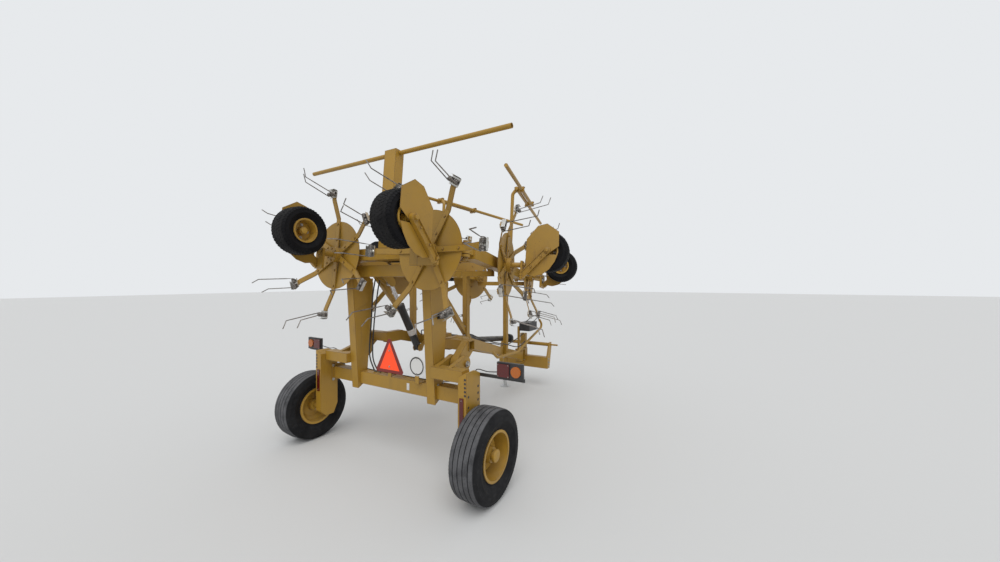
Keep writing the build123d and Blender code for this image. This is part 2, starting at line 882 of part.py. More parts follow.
# Posts: tapering box posts from below the axle beam up to the centre beam, with the top cross member
post_inner = post_x - post_width / 2
member_front = axle_y + 200
lug_offset = lift_eye_width / 2 + side_gap + lift_lug / 2
with BuildPart() as tower_posts:
    for side in (-1, 1):
        side_plate(
            side * post_x,
            post_width,
            [
                (axle_y + 75, 650),
                (axle_y + 185, 715),
                (axle_y + 275, 1800),
                in_row(beam_size / 2, beam_floor + beam_size),
                in_row(beam_size / 2, beam_floor),
                (axle_y, 1800),
            ],
        )
    with Locations((0, axle_beam_y, axle_beam_z)):
        Box(2 * beam_end, axle_beam_depth, axle_beam_height, mode=Mode.SUBTRACT)
    block((-post_inner - 1, post_inner + 1), (member_front - member_depth, member_front), member_z)
    with Locations(work.location):
        add(centre_beam_work.part, mode=Mode.SUBTRACT)
    head_y, head_z = lift_head
    for x in (lift_x - lug_offset, lift_x + lug_offset):
        side_plate(
            x,
            lift_lug,
            [
                (member_front - 2 * weld, member_z[1]),
                (member_front - 2 * weld, member_z[0]),
                (head_y - lift_lug_half / 2, head_z - lift_lug_half),
                (head_y + lift_lug_half / 2, head_z - lift_lug_half),
                (head_y + lift_lug_half, head_z),
                (head_y + lift_lug_half / 2, head_z + lift_lug_half),
            ],
        )
save(tower_posts, "tower_posts")

# Rear lamps on flat bars bolted to the legs' front faces, and the strip reflectors on the legs
lens_front = lamp_y + lens
with BuildPart() as lamp_housings:
    for side in (-1, 1):
        block([side * x for x in lamp_bar_x], (leg_front_y, leg_front_y + lamp_bar), lamp_bar_z)
        block([side * x for x in lamp_box_x], (lens_front, leg_front_y), lamp_box_z)
save(lamp_housings, "lamp_housings")
with BuildPart() as red_lenses:
    for side in (-1, 1):
        block([side * x for x in red_lens_x], (lamp_y, lens_front), red_lens_z)
        block([side * x for x in reflector_x], (leg_rear_y - reflector, leg_rear_y), reflector_z)
save(red_lenses, "red_lenses")
with BuildPart() as amber_lenses:
    with BuildSketch(Plane.XZ.offset(-lens_front)):
        with Locations((-amber_lens_x, amber_lens_z), (amber_lens_x, amber_lens_z)):
            Circle(amber_lens_radius)
    extrude(amount=amber_lens_depth)
save(amber_lenses, "amber_lenses")

# Warning triangle with cut corners and round speed sign, both blank
low, corner, peak = triangle_z
foot_half, wide_half, peak_half = triangle_half
triangle_right = [(foot_half, low), (wide_half, corner), (peak_half, peak)]
triangle_left = [(-x, z) for x, z in triangle_right[::-1]]
with BuildPart() as warning_triangle:
    with BuildSketch(Plane.XZ.offset(-beam_rear)):
        with BuildLine():
            Polyline(*[(triangle_x + x, z) for x, z in triangle_right + triangle_left], close=True)
        make_face()
    extrude(amount=sign_plate)
save(warning_triangle, "warning_triangle")
with BuildPart() as speed_sign:
    with BuildSketch(Plane.XZ.offset(-sign_y)):
        with Locations((speed_sign_x, speed_sign_z)):
            Circle(speed_sign_radius)
    extrude(amount=sign_plate)
save(speed_sign, "speed_sign")

# Drawbar: tube stubs with the pivot lugs, two rails that meet in one nose beam, and the swivel eye
rail_z0 = cross_tube_z - weld


def rail_z(y):
    """Height of the centre line of the rails and the nose beam at a station."""
    return rail_z0 - rail_drop * (y - bend_y)


rails_end_y = nose_y + 60
member_mid = rail_z(member_y)
member_rear = member_y - member_half_depth
member_ahead = member_y + member_half_depth
member_top = member_mid + member_half_rise
eye_z = rail_z(hitch_y)
tube_x = (cross_tube_inner, cross_tube_half)
tube_rear = cross_tube_y - cross_tube_size / 2
tube_front = cross_tube_y + cross_tube_size / 2
tube_low = cross_tube_z - cross_tube_size / 2
tube_high = cross_tube_z + cross_tube_size / 2
with BuildPart() as drawbar:
    for side in (-1, 1):
        block((side * tube_x[0], side * tube_x[1]), (tube_rear, tube_front), (tube_low, tube_high))
        with BuildSketch(Plane.YZ.offset(side * lug_x)) as lug:
            with Locations((pivot_y, pivot_z)):
                Circle(cheek_radius - 2)
            with BuildLine():
                Polyline(
                    (pivot_y - 48, pivot_z + 50),
                    (pivot_y + 48, pivot_z - 50),
                    (tube_front, tube_low),
                    (tube_rear, tube_high),
                    close=True,
                )
            make_face()
        extrude(lug.sketch, amount=lug_width / 2, both=True)
        with BuildSketch(Plane.YZ.offset(side * lug_x)) as lug_bore:
            with Locations((pivot_y, pivot_z)):
                Circle(pivot_pin / 2 + rod_clearance)
        extrude(lug_bore.sketch, amount=lug_width, both=True, mode=Mode.SUBTRACT)
        bar((side * rail_x, tube_rear + 20, rail_z0), (side * rail_x, bend_y, rail_z0), rail_width, rail_height)
        bar(
            (side * rail_x, bend_y - 12, rail_z0),
            (side * rails_end_x, rails_end_y, rail_z(rails_end_y)),
            rail_width,
            rail_height,
        )
    tube_hollow = cross_tube_size - 2 * cross_tube_wall
    for side in (-1, 1):
        with Locations((side * cross_tube_half, cross_tube_y, cross_tube_z)):
            Box(2 * cross_tube_open, tube_hollow, tube_hollow, mode=Mode.SUBTRACT)
    nose_end = hitch_y - nose_weld
    bar((0, nose_y, rail_z(nose_y)), (0, nose_end, rail_z(nose_end)), nose_size, nose_size)
    rod((0, hitch_y, eye_z - eye_half), (0, hitch_y, eye_z + eye_half), eye_radius)
    with BuildSketch(Plane.XY.offset(eye_z - eye_half)) as eye_bore:
        with Locations((0, hitch_y)):
            Circle(hitch_pin / 2 + pin_gap)
    extrude(eye_bore.sketch, amount=2 * eye_half, mode=Mode.SUBTRACT)
    block((-member_half, member_half), (member_rear, member_ahead), (member_mid - 55, member_top))
    foot_y, foot_z = lift_foot
    for x in (lift_x - lug_offset, lift_x + lug_offset):
        side_plate(
            x,
            lift_lug,
            [
                (member_rear + 2 * weld, member_mid - 2 * weld),
                (foot_y + weld, foot_z + lift_lug_half),
                (foot_y - 0.7 * lift_lug_half, foot_z + 0.75 * lift_lug_half),
                (foot_y - lift_lug_half, foot_z),
                (foot_y - 0.6 * lift_lug_half, foot_z - lift_lug_half),
                (foot_y + 0.6 * lift_lug_half, foot_z - lift_lug_half),
                (member_rear + 2 * weld, member_mid - 10 * weld),
            ],
        )
    pin_reach = lug_offset + lift_lug
    rod((lift_x - pin_reach, foot_y, foot_z), (lift_x + pin_reach, foot_y, foot_z), lift_pin / 2)
    block(
        (jack_x, -nose_size / 2 + weld),
        (jack_y - jack_bracket_half, jack_y + jack_bracket_half),
        (rail_z(jack_y) - bracket_rise, rail_z(jack_y) + bracket_rise),
    )
    rod((jack_x, jack_y, jack_sleeve_z[0]), (jack_x, jack_y, jack_sleeve_z[1]), jack_sleeve / 2)
    with BuildSketch(Plane.XY.offset(jack_sleeve_z[0])) as sleeve_bore:
        with Locations((jack_x, jack_y)):
            Circle(jack_tube / 2 + pin_gap)
    extrude(sleeve_bore.sketch, amount=jack_sleeve_z[1] - jack_sleeve_z[0], mode=Mode.SUBTRACT)
    block(box_post_x, box_post_y, (rail_z(box_post_y[0]), box_post_top))
save(drawbar, "drawbar")

# Parking jack: inner tube and foot
with BuildPart() as jack_leg:
    rod((jack_x, jack_y, jack_ground), (jack_x, jack_y, jack_top), jack_tube / 2)
    with BuildSketch(Plane.XY):
        with Locations((jack_x, jack_y)):
            Circle(jack_foot_radius)
    extrude(amount=jack_foot_plate)
save(jack_leg, "jack_leg")

# Wing rests: a gallows over the rails, a single post beside the nose beam, and the two raking stays
stay_end_y = member_front + stay_gap
stay_rise = stay_size / 2 * (1 + stay_slope ** 2) ** 0.5
stay_end_z = stay_foot[1] + stay_slope * (stay_foot[0] - stay_end_y)
with BuildPart() as wing_rests:
    for side in (-1, 1):
        block([side * x for x in rest_post_x], rest_y, (rest_post_foot, rest_bar_z[0] + rest_overlap))
        side_plate(
            side * stay_x,
            stay_size,
            [
                (stay_foot[0], stay_foot[1] - stay_rise),
                (stay_foot[0], stay_foot[1] + stay_rise),
                (stay_end_y, stay_end_z + stay_rise),
                (stay_end_y, stay_end_z - stay_rise),
            ],
        )
    block((-rest_bar_half, rest_bar_half), rest_y, rest_bar_z)
    front_post_x = (nose_size / 2, nose_size / 2 + front_rest_width)
    block(front_post_x, front_rest_y, (front_rest_foot, front_rest_bar_z[0] + rest_overlap))
    block((-front_rest_half, front_rest_half), front_rest_y, front_rest_bar_z)
    add(drawbar.part, mode=Mode.SUBTRACT)
save(wing_rests, "wing_rests")

# Hitch head: forked swivel, cross beam, end plates with the link shaft, and the hose tower
head_y = hitch_y + 110
link_y = hitch_y + link_back
low, high = head_beam_z
with BuildPart() as hitch_head:
    rod((0, hitch_y, eye_z - head_pin_z[0]), (0, hitch_y, eye_z + head_pin_z[1]), hitch_pin / 2)
    for plate_z in (eye_z - fork_low, eye_z + fork_high):
        block((-fork_half, fork_half), (hitch_y - fork_rear, head_y + 1), (plate_z, plate_z + fork_plate))
    block((-fork_half, fork_half), (head_y - 2 * weld, head_y + 80), (eye_z - fork_low, eye_z + fork_low))
    block((-head_half, head_half), (head_y, head_y + head_depth), head_beam_z)
    block((-mast_post_half, mast_post_half), (head_y + 10, head_y + 90), (high - 2 * weld, mast_post_top))
    for side in (-1, 1):
        side_plate(
            side * (head_half + end_plate / 2),
            end_plate,
            [
                (head_y, low),
                (head_y + head_depth, low),
                (link_y + 50, link_shaft_z - 40),
                (link_y + 50, link_shaft_z + 40),
                (link_y - 50, link_shaft_z + 40),
                (head_y, high),
            ],
        )
    shaft_half = head_half + end_plate / 2
    rod((-shaft_half, link_y, link_shaft_z), (shaft_half, link_y, link_shaft_z), link_boss)
    pin_end = head_half + link_reach
    rod((-pin_end, link_y, link_shaft_z), (pin_end, link_y, link_shaft_z), link_pin / 2)
save(hitch_head, "hitch_head")

# Input gearbox, saddled over the cross member
with BuildPart() as input_gearbox:
    saddle_front = member_ahead + saddle_reach
    block((-gearbox_half, gearbox_half), (member_rear - gearbox_depth, member_rear), gearbox_z)
    saddle_x = (-saddle_half, saddle_half)
    block(saddle_x, (member_rear - gearbox_depth, saddle_front), (member_top, member_top + saddle_plate))
    block(saddle_x, (member_ahead, saddle_front), (saddle_low, member_top + saddle_plate / 2))
save(input_gearbox, "input_gearbox")

# Drive shaft: guard cone, joint, guard tube and front cone
shaft_rear = (0, saddle_front, shaft_rear_z)
shaft_front = (0, shaft_front_y, shaft_front_z)


def along_shaft(share):
    """Point on the drive shaft's line, 0 at the gearbox and 1 at the front end."""
    return tuple(a + share * (b - a) for a, b in zip(shaft_rear, shaft_front))


with BuildPart() as pto_shaft:
    for start, end, radius in shaft_steps:
        rod(along_shaft(start), along_shaft(end), radius)
    with Locations((0, saddle_front - gearbox_half, shaft_rear_z)):
        Box(4 * gearbox_half, 2 * gearbox_half, 4 * gearbox_half, mode=Mode.SUBTRACT)
save(pto_shaft, "pto_shaft")

# Document box beside the swivel
with BuildPart() as storage_box:
    block(box_x, box_y, box_z)
save(storage_box, "storage_box")

# Hose guide: a bent tube from the right rail forward over the hitch
with BuildPart() as hose_guide:
    with BuildLine() as guide_line:
        FilletPolyline(*[(guide_x, axle_y + y, z) for y, z in guide_route], radius=guide_bend)
    start, second_point = guide_route[0], guide_route[1]
    heading = (0, second_point[0] - start[0], second_point[1] - start[1])
    with BuildSketch(Plane(origin=(guide_x, axle_y + start[0], start[1]), z_dir=heading)) as guide_section:
        Circle(guide_tube / 2)
    sweep(guide_section.sketch, path=guide_line.wires()[0])
    add(drawbar.part, mode=Mode.SUBTRACT)
save(hose_guide, "hose_guide")
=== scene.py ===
import json
import math

import bpy
from mathutils import Matrix, Vector


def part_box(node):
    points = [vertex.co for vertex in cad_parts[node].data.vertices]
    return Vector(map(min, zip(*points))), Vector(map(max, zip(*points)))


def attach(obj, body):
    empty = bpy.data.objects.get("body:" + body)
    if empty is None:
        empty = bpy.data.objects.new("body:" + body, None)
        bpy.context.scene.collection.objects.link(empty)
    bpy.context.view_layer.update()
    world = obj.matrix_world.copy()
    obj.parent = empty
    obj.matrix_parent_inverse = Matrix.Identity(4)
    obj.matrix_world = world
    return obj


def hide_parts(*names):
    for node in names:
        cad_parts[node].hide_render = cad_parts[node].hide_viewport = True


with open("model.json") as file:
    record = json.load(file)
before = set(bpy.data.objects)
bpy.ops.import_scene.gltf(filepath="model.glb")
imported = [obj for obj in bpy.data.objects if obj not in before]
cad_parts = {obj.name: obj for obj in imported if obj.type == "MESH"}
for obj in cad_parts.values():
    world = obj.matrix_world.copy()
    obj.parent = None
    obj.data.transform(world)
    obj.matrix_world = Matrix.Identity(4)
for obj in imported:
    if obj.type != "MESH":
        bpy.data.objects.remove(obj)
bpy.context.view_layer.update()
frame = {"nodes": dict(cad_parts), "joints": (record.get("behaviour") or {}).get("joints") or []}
joints = {j["name"]: j for j in frame["joints"]}
print("frame loaded:", len(frame["nodes"]), "nodes")


# small helpers for modelling by operators

def clearSelection():
    if bpy.context.mode != "OBJECT":
        bpy.ops.object.mode_set(mode="OBJECT")
    bpy.ops.object.select_all(action="DESELECT")


def activate(piece):
    clearSelection()
    piece.select_set(True)
    bpy.context.view_layer.objects.active = piece


def selectFaces(piece, test):
    # stays in edit mode, face select, with only the faces that pass the test
    activate(piece)
    enterEdit()
    bpy.ops.mesh.select_mode(type="FACE")
    bpy.ops.mesh.select_all(action="DESELECT")
    bpy.ops.object.mode_set(mode="OBJECT")
    for face in piece.data.polygons:
        face.select = test(face)
    enterEdit()


def applyPlace(piece):
    activate(piece)
    bpy.ops.object.transform_apply(location=True, rotation=True, scale=True)


def bevelEdges(piece, width, segments=2, angle=40):
    activate(piece)
    bevel = piece.modifiers.new("roundEdges", "BEVEL")
    bevel.width = width
    bevel.segments = segments
    bevel.limit_method = "ANGLE"
    bevel.angle_limit = math.radians(angle)
    bpy.ops.object.modifier_apply(modifier=bevel.name)


def smoothByAngle(piece, angle=35):
    activate(piece)
    bpy.ops.object.shade_smooth_by_angle(angle=math.radians(angle))


def coloured(piece, *materials):
    piece.data.materials.clear()
    for material in materials:
        piece.data.materials.append(material)
    return piece


def copyTo(piece, place):
    twin = piece.copy()
    twin.data = piece.data.copy()
    twin.data.transform(place)
    bpy.context.scene.collection.objects.link(twin)
    return twin


def joined(pieces):
    clearSelection()
    for piece in pieces:
        piece.select_set(True)
    bpy.context.view_layer.objects.active = pieces[0]
    if len(pieces) > 1:
        bpy.ops.object.join()
    return bpy.context.view_layer.objects.active


def discard(*pieces):
    for piece in pieces:
        bpy.data.objects.remove(piece)


def moved(x, y=0, z=0):
    return Matrix.Translation((x, y, z))


def turned(degrees, axis):
    return Matrix.Rotation(math.radians(degrees), 4, axis)


def enterEdit():
    bpy.ops.object.mode_set(mode="EDIT")


def leaveEdit():
    bpy.ops.object.mode_set(mode="OBJECT")


def pushOut(*way):
    bpy.ops.mesh.extrude_region_move(TRANSFORM_OT_translate={"value": way})


def stepIn(thickness, lift):
    bpy.ops.mesh.inset(thickness=thickness)
    bpy.ops.transform.translate(value=(0, 0, lift))


def block(size, middle=(0, 0, 0)):
    bpy.ops.mesh.primitive_cube_add(size=1, location=middle)
    piece = bpy.context.object
    piece.scale = size
    applyPlace(piece)
    return piece


def drum(radius, tall, sides, foot=0.0):
    middle = (0, 0, foot + tall / 2)
    bpy.ops.mesh.primitive_cylinder_add(vertices=sides, radius=radius, depth=tall, location=middle)
    piece = bpy.context.object
    applyPlace(piece)
    return piece


def finished(piece, name, body):
    piece.name = name
    piece.data.name = name
    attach(piece, body)
    return piece


def dressed(piece, material, name, body):
    coloured(piece, material)
    return finished(piece, name, body)


# places of the working unit, worked out from the joints

rotorTable = {  # side of the machine, station along the beam, arm phase in degrees, wheel shift
    "1": (0, -0.65, 30, 0.08),
    "2": (0, 0.65, 0, 0.10),
    "3": (1, 1.95, 30, 0.10),
    "4": (1, 3.25, 0, 0.10),
    "5": (-1, -1.95, 0, 0.08),
    "6": (-1, -3.25, 30, 0.08),
}
hostBody = {0: "rear_frame", 1: "wing_right", -1: "wing_left"}
armCount = 6
gaugeY, gaugeZ = -0.16, -0.46  # gauge wheel's axle from its rotor, in the work frame
coverZ = 0.214  # top of a gearbox
spindleZ = -0.19  # foot of a rotor's spindle


def rotorsOn(side):
    return [(name, row[1], row[3]) for name, row in rotorTable.items() if row[0] == side]


def workPlace():
    # rotors' plane of the centre unit: x right, y forward at work, z up at work
    left = Vector(joints["rotor_1_spin"]["pos_m"])
    right = Vector(joints["rotor_2_spin"]["pos_m"])
    up = Vector(joints["rotor_1_spin"]["axis"]).normalized()
    across = Vector((1, 0, 0))
    ahead = up.cross(across)
    turn = Matrix((across, ahead, up)).transposed().to_4x4()
    return Matrix.Translation((left + right) / 2) @ turn


def hostPlace(side):
    if side == 0:
        return workPlace()
    fold = joints["wing_fold_right" if side > 0 else "wing_fold_left"]
    hinge = Vector(fold["pos_m"])
    swing = Matrix.Rotation(-math.radians(fold["range_deg"][1]), 4, Vector(fold["axis"]))
    return Matrix.Translation(hinge) @ swing @ Matrix.Translation(-hinge) @ workPlace()


def rotorPlace(name):
    side, station, phase, shift = rotorTable[name]
    turn = turned(phase, "Z")
    return hostPlace(side) @ moved(station) @ turn


def gaugePlace(name):
    side, station, phase, shift = rotorTable[name]
    return hostPlace(side) @ moved(station + shift, gaugeY, gaugeZ)


# shader groups shared by the finishes

def newGroup(name, inputs, outputs):
    tree = bpy.data.node_groups.new(name, "ShaderNodeTree")
    kinds = {"f": "NodeSocketFloat", "v": "NodeSocketVector"}
    for socketName, kind, value in inputs:
        socket = tree.interface.new_socket(name=socketName, in_out="INPUT", socket_type=kinds[kind])
        socket.default_value = value
    for socketName, kind in outputs:
        tree.interface.new_socket(name=socketName, in_out="OUTPUT", socket_type=kinds[kind])
    return tree, tree.nodes.new("NodeGroupInput"), tree.nodes.new("NodeGroupOutput")


def add(tree, kind, **settings):
    node = tree.nodes.new("ShaderNode" + kind)
    for key, value in settings.items():
        setattr(node, key, value)
    return node


def put(node, socket, value):
    node.inputs[socket].default_value = value


def wire(tree, source, target):
    tree.links.new(source, target)


def feed(tree, value, socket):
    # a number or a colour is written on the socket, an output is wired to it
    if isinstance(value, tuple):
        socket.default_value = (*value, 1)
    elif isinstance(value, (int, float)):
        socket.default_value = value
    else:
        wire(tree, value, socket)


def maths(tree, operation, first, second=None, clamp=False):
    node = add(tree, "Math", operation=operation, use_clamp=clamp)
    feed(tree, first, node.inputs[0])
    if second is not None:
        feed(tree, second, node.inputs[1])
    return node.outputs[0]


def times(tree, first, second, clamp=False):
    return maths(tree, "MULTIPLY", first, second, clamp)


def plus(tree, first, second):
    return maths(tree, "ADD", first, second)


def minus(tree, first, second):
    return maths(tree, "SUBTRACT", first, second)


def ramp(tree, value, low, high, fromZero=0.0, toOne=1.0):
    node = add(tree, "MapRange", interpolation_type="SMOOTHSTEP")
    wire(tree, value, node.inputs["Value"])
    limits = {"From Min": low, "From Max": high, "To Min": fromZero, "To Max": toOne}
    for name, limit in limits.items():
        put(node, name, limit)
    return node.outputs["Result"]


def mixColour(tree, factor, first, second):
    node = add(tree, "Mix", data_type="RGBA")
    feed(tree, factor, node.inputs["Factor"])
    feed(tree, first, node.inputs[6])
    feed(tree, second, node.inputs[7])
    return node.outputs[2]


def objectPoint(tree, squeeze=None):
    point = add(tree, "TexCoord").outputs["Object"]
    if squeeze is None:
        return point
    node = add(tree, "Mapping")
    put(node, "Scale", squeeze)
    wire(tree, point, node.inputs["Vector"])
    return node.outputs["Vector"]


def noise(tree, scale, detail, roughness, point=None):
    node = add(tree, "TexNoise")
    wire(tree, point or objectPoint(tree), node.inputs["Vector"])
    feed(tree, scale, node.inputs["Scale"])
    put(node, "Detail", detail)
    put(node, "Roughness", roughness)
    return node.outputs["Fac"]


def vectorMaths(tree, operation, first, second=None):
    node = add(tree, "VectorMath", operation=operation)
    wire(tree, first, node.inputs[0])
    if second is not None:
        wire(tree, second, node.inputs[1])
    return node.outputs


def cells(tree, scale, feature="F1"):
    node = add(tree, "TexVoronoi", feature=feature)
    wire(tree, objectPoint(tree), node.inputs["Vector"])
    feed(tree, scale, node.inputs["Scale"])
    return node.outputs


def makeEdgeWear():
    inputs = [("Radius", "f", 0.005), ("Scale", "f", 35.0), ("Amount", "f", 0.5)]
    tree, start, end = newGroup("edgeWear", inputs, [("Mask", "f")])
    bevel = add(tree, "Bevel", samples=6)
    wire(tree, start.outputs["Radius"], bevel.inputs["Radius"])
    geometry = add(tree, "NewGeometry")
    dot = vectorMaths(tree, "DOT_PRODUCT", bevel.outputs[0], geometry.outputs["Normal"])
    edge = minus(tree, 1.0, dot["Value"])
    edge = times(tree, edge, 9.0)
    grain = noise(tree, start.outputs["Scale"], 6, 0.7)
    edge = times(tree, edge, start.outputs["Amount"])
    worn = plus(tree, edge, minus(tree, grain, 1.0))
    wire(tree, ramp(tree, worn, 0.0, 0.18), end.inputs["Mask"])
    return tree


def makeSettledDust():
    inputs = [("Amount", "f", 0.5), ("Scale", "f", 6.0)]
    tree, start, end = newGroup("settledDust", inputs, [("Mask", "f")])
    geometry = add(tree, "NewGeometry")
    split = add(tree, "SeparateXYZ")
    wire(tree, geometry.outputs["Normal"], split.inputs[0])
    upward = ramp(tree, split.outputs["Z"], 0.05, 0.95)
    cloud = ramp(tree, noise(tree, start.outputs["Scale"], 7, 0.65), 0.3, 0.7)
    fine = ramp(tree, noise(tree, 90.0, 3, 0.6), 0.25, 0.75, 0.6, 1.0)
    mask = times(tree, times(tree, upward, cloud), fine)
    wire(tree, times(tree, mask, start.outputs["Amount"], clamp=True), end.inputs["Mask"])
    return tree


def makeRunStains():
    tree, start, end = newGroup("runStains", [("Amount", "f", 0.4)], [("Mask", "f")])
    streaks = noise(tree, 22.0, 5, 0.6, objectPoint(tree, (1.0, 1.0, 0.08)))
    patches = noise(tree, 2.6, 3, 0.5)
    mask = times(tree, ramp(tree, streaks, 0.52, 0.72), ramp(tree, patches, 0.45, 0.7))
    wire(tree, times(tree, mask, start.outputs["Amount"], clamp=True), end.inputs["Mask"])
    return tree


def makeSpecks():
    inputs = [("Scale", "f", 60.0), ("Amount", "f", 0.5)]
    tree, start, end = newGroup("specks", inputs, [("Mask", "f")])
    spots = ramp(tree, cells(tree, start.outputs["Scale"])["Distance"], 0.22, 0.08)
    where = ramp(tree, noise(tree, 5.0, 4, 0.6), 0.5, 0.66)
    mask = times(tree, spots, where)
    wire(tree, times(tree, mask, start.outputs["Amount"], clamp=True), end.inputs["Mask"])
    return tree


def makeAxisFrame():
    inputs = [("Centre", "v", (0, 0, 0)), ("Axis", "v", (1, 0, 0))]
    tree, start, end = newGroup("axisFrame", inputs, [("Radius", "f"), ("Along", "f")])
    arm = vectorMaths(tree, "SUBTRACT", objectPoint(tree), start.outputs["Centre"])[0]
    along = vectorMaths(tree, "DOT_PRODUCT", arm, start.outputs["Axis"])
    outward = vectorMaths(tree, "CROSS_PRODUCT", arm, start.outputs["Axis"])[0]
    reach = vectorMaths(tree, "LENGTH", outward)
    wire(tree, reach["Value"], end.inputs["Radius"])
    wire(tree, along["Value"], end.inputs["Along"])
    return tree


groups = {
    "edgeWear": makeEdgeWear(),
    "settledDust": makeSettledDust(),
    "runStains": makeRunStains(),
    "specks": makeSpecks(),
    "axisFrame": makeAxisFrame(),
}


def useGroup(tree, name, **values):
    node = add(tree, "Group")
    node.node_tree = groups[name]
    for key, value in values.items():
        put(node, key, value)
    return node


def overlaid(tree, tone, group, colour, **values):
    # lays the colour over the tone where the group's mask is
    return mixColour(tree, useGroup(tree, group, **values).outputs["Mask"], tone, colour)


def newMaterial(name, roughness, metallic=0.0):
    material = bpy.data.materials.new(name)
    material.use_nodes = True
    tree = material.node_tree
    shader = tree.nodes["Principled BSDF"]
    put(shader, "Roughness", roughness)
    put(shader, "Metallic", metallic)
    return material, tree, shader


def tint(tree, shader, tone):
    wire(tree, tone, shader.inputs["Base Color"])


def bumpInto(tree, shader, height, strength, distance=0.002):
    bump = add(tree, "Bump")
    put(bump, "Strength", strength)
    put(bump, "Distance", distance)
    wire(tree, height, bump.inputs["Height"])
    wire(tree, bump.outputs["Normal"], shader.inputs["Normal"])


# finishes

def paintFinish(name, look):
    material, tree, shader = newMaterial(name, look["gloss"])
    tone = mixColour(tree, ramp(tree, noise(tree, 1.7, 5, 0.6), 0.3, 0.7), look["colour"], look["faded"])
    tone = mixColour(tree, ramp(tree, noise(tree, 14.0, 4, 0.6), 0.35, 0.75, 0.0, 0.35), tone, look["faded"])
    tone = overlaid(tree, tone, "runStains", look["stainColour"], Amount=look["stains"])
    tone = overlaid(tree, tone, "specks", look["bare"], Scale=look["chipScale"], Amount=look["chips"])
    wear = useGroup(tree, "edgeWear", Radius=look["edgeRadius"], Scale=40.0, Amount=look["wear"])
    tone = mixColour(tree, wear.outputs["Mask"], tone, look["bare"])
    dust = useGroup(tree, "settledDust", Amount=look["dust"], Scale=5.0)
    tone = mixColour(tree, dust.outputs["Mask"], tone, look["dustColour"])
    tint(tree, shader, tone)
    rough = mixColour(tree, dust.outputs["Mask"], (look["gloss"],) * 3, (0.85, 0.85, 0.85))
    rough = mixColour(tree, wear.outputs["Mask"], rough, (0.75, 0.75, 0.75))
    wire(tree, rough, shader.inputs["Roughness"])
    peel = times(tree, noise(tree, 260.0, 2, 0.5), 0.25)
    peel = plus(tree, peel, times(tree, wear.outputs["Mask"], -0.6))
    bumpInto(tree, shader, peel, 0.35, 0.001)
    return material


yellowLook = {
    "colour": (0.40, 0.222, 0.022),
    "faded": (0.34, 0.195, 0.028),
    "gloss": 0.40,
    "stains": 0.4,
    "stainColour": (0.19, 0.11, 0.035),
    "chips": 0.55,
    "chipScale": 45.0,
    "bare": (0.105, 0.055, 0.03),
    "edgeRadius": 0.006,
    "wear": 0.75,
    "dust": 0.22,
    "dustColour": (0.36, 0.30, 0.20),
}
yellowPaint = paintFinish("ochreYellowPaint", yellowLook)
discLook = dict(yellowLook, stains=0.6, chips=0.8, wear=0.9, dust=0.3)
discLook.update(colour=(0.38, 0.21, 0.02), faded=(0.32, 0.186, 0.03))
discPaint = paintFinish("rotorPaint", discLook)
# a lighter copy of the yellow paint for the rims and caps: painted light
litRimPaint = paintFinish("litRimPaint", dict(yellowLook, colour=(0.47, 0.27, 0.028), dust=0.25, chips=0.7))
blackLook = dict(yellowLook, bare=(0.10, 0.09, 0.08), stainColour=(0.08, 0.06, 0.045), dust=0.35, gloss=0.38)
blackLook.update(colour=(0.018, 0.018, 0.02), faded=(0.035, 0.034, 0.033))
blackPaintAndHoleShade = paintFinish("blackPaintAndHoleShade", blackLook)


def rubberFinish(name, look):
    # look: tread radius above which road dust lies, with one centre and axis for each wheel
    material, tree, shader = newMaterial(name, 0.66)
    put(shader, "Specular IOR Level", 0.12)
    wheel = useGroup(tree, "axisFrame", Centre=look["centre"], Axis=look["axis"])
    cloud = noise(tree, 9.0, 6, 0.65)
    grit = noise(tree, 140.0, 3, 0.7)
    tone = mixColour(tree, ramp(tree, cloud, 0.3, 0.75), look["colour"], look["greyed"])
    reach, tread = wheel.outputs["Radius"], look["treadRadius"]
    worn = ramp(tree, reach, tread - 0.006, tread - 0.001)
    lying = plus(tree, cloud, times(tree, grit, 0.5))
    lying = ramp(tree, lying, 0.45, 0.95, look["leastDust"], look["mostDust"])
    tone = mixColour(tree, times(tree, worn, lying), tone, look["dustColour"])
    splash = times(tree, ramp(tree, noise(tree, 30.0, 5, 0.7), 0.5, 0.75), look["splash"])
    tone = mixColour(tree, splash, tone, look["dustColour"])
    tint(tree, shader, tone)
    rings = add(tree, "Math", operation="SINE")
    wire(tree, times(tree, reach, look["ringsPerMetre"] * 2 * math.pi), rings.inputs[0])
    sideOnly = ramp(tree, reach, tread - 0.02, tread - 0.035)
    height = times(tree, times(tree, rings.outputs[0], sideOnly), 0.35)
    bumpInto(tree, shader, plus(tree, height, times(tree, grit, 0.5)), 0.5, 0.0015)
    return material


def springFinish(name, colour, dark, roughness):
    material, tree, shader = newMaterial(name, roughness, 0.75)
    tone = mixColour(tree, ramp(tree, noise(tree, 30.0, 5, 0.6), 0.35, 0.7), colour, dark)
    tone = overlaid(tree, tone, "specks", (0.20, 0.10, 0.05), Scale=70.0, Amount=0.6)
    tint(tree, shader, tone)
    bumpInto(tree, shader, noise(tree, 320.0, 3, 0.6), 0.3, 0.0006)
    return material


tineSteel = springFinish("tineSteel", (0.30, 0.28, 0.26), (0.16, 0.14, 0.125), 0.42)
chromeRod = springFinish("chromedRod", (0.72, 0.72, 0.73), (0.60, 0.60, 0.61), 0.16)


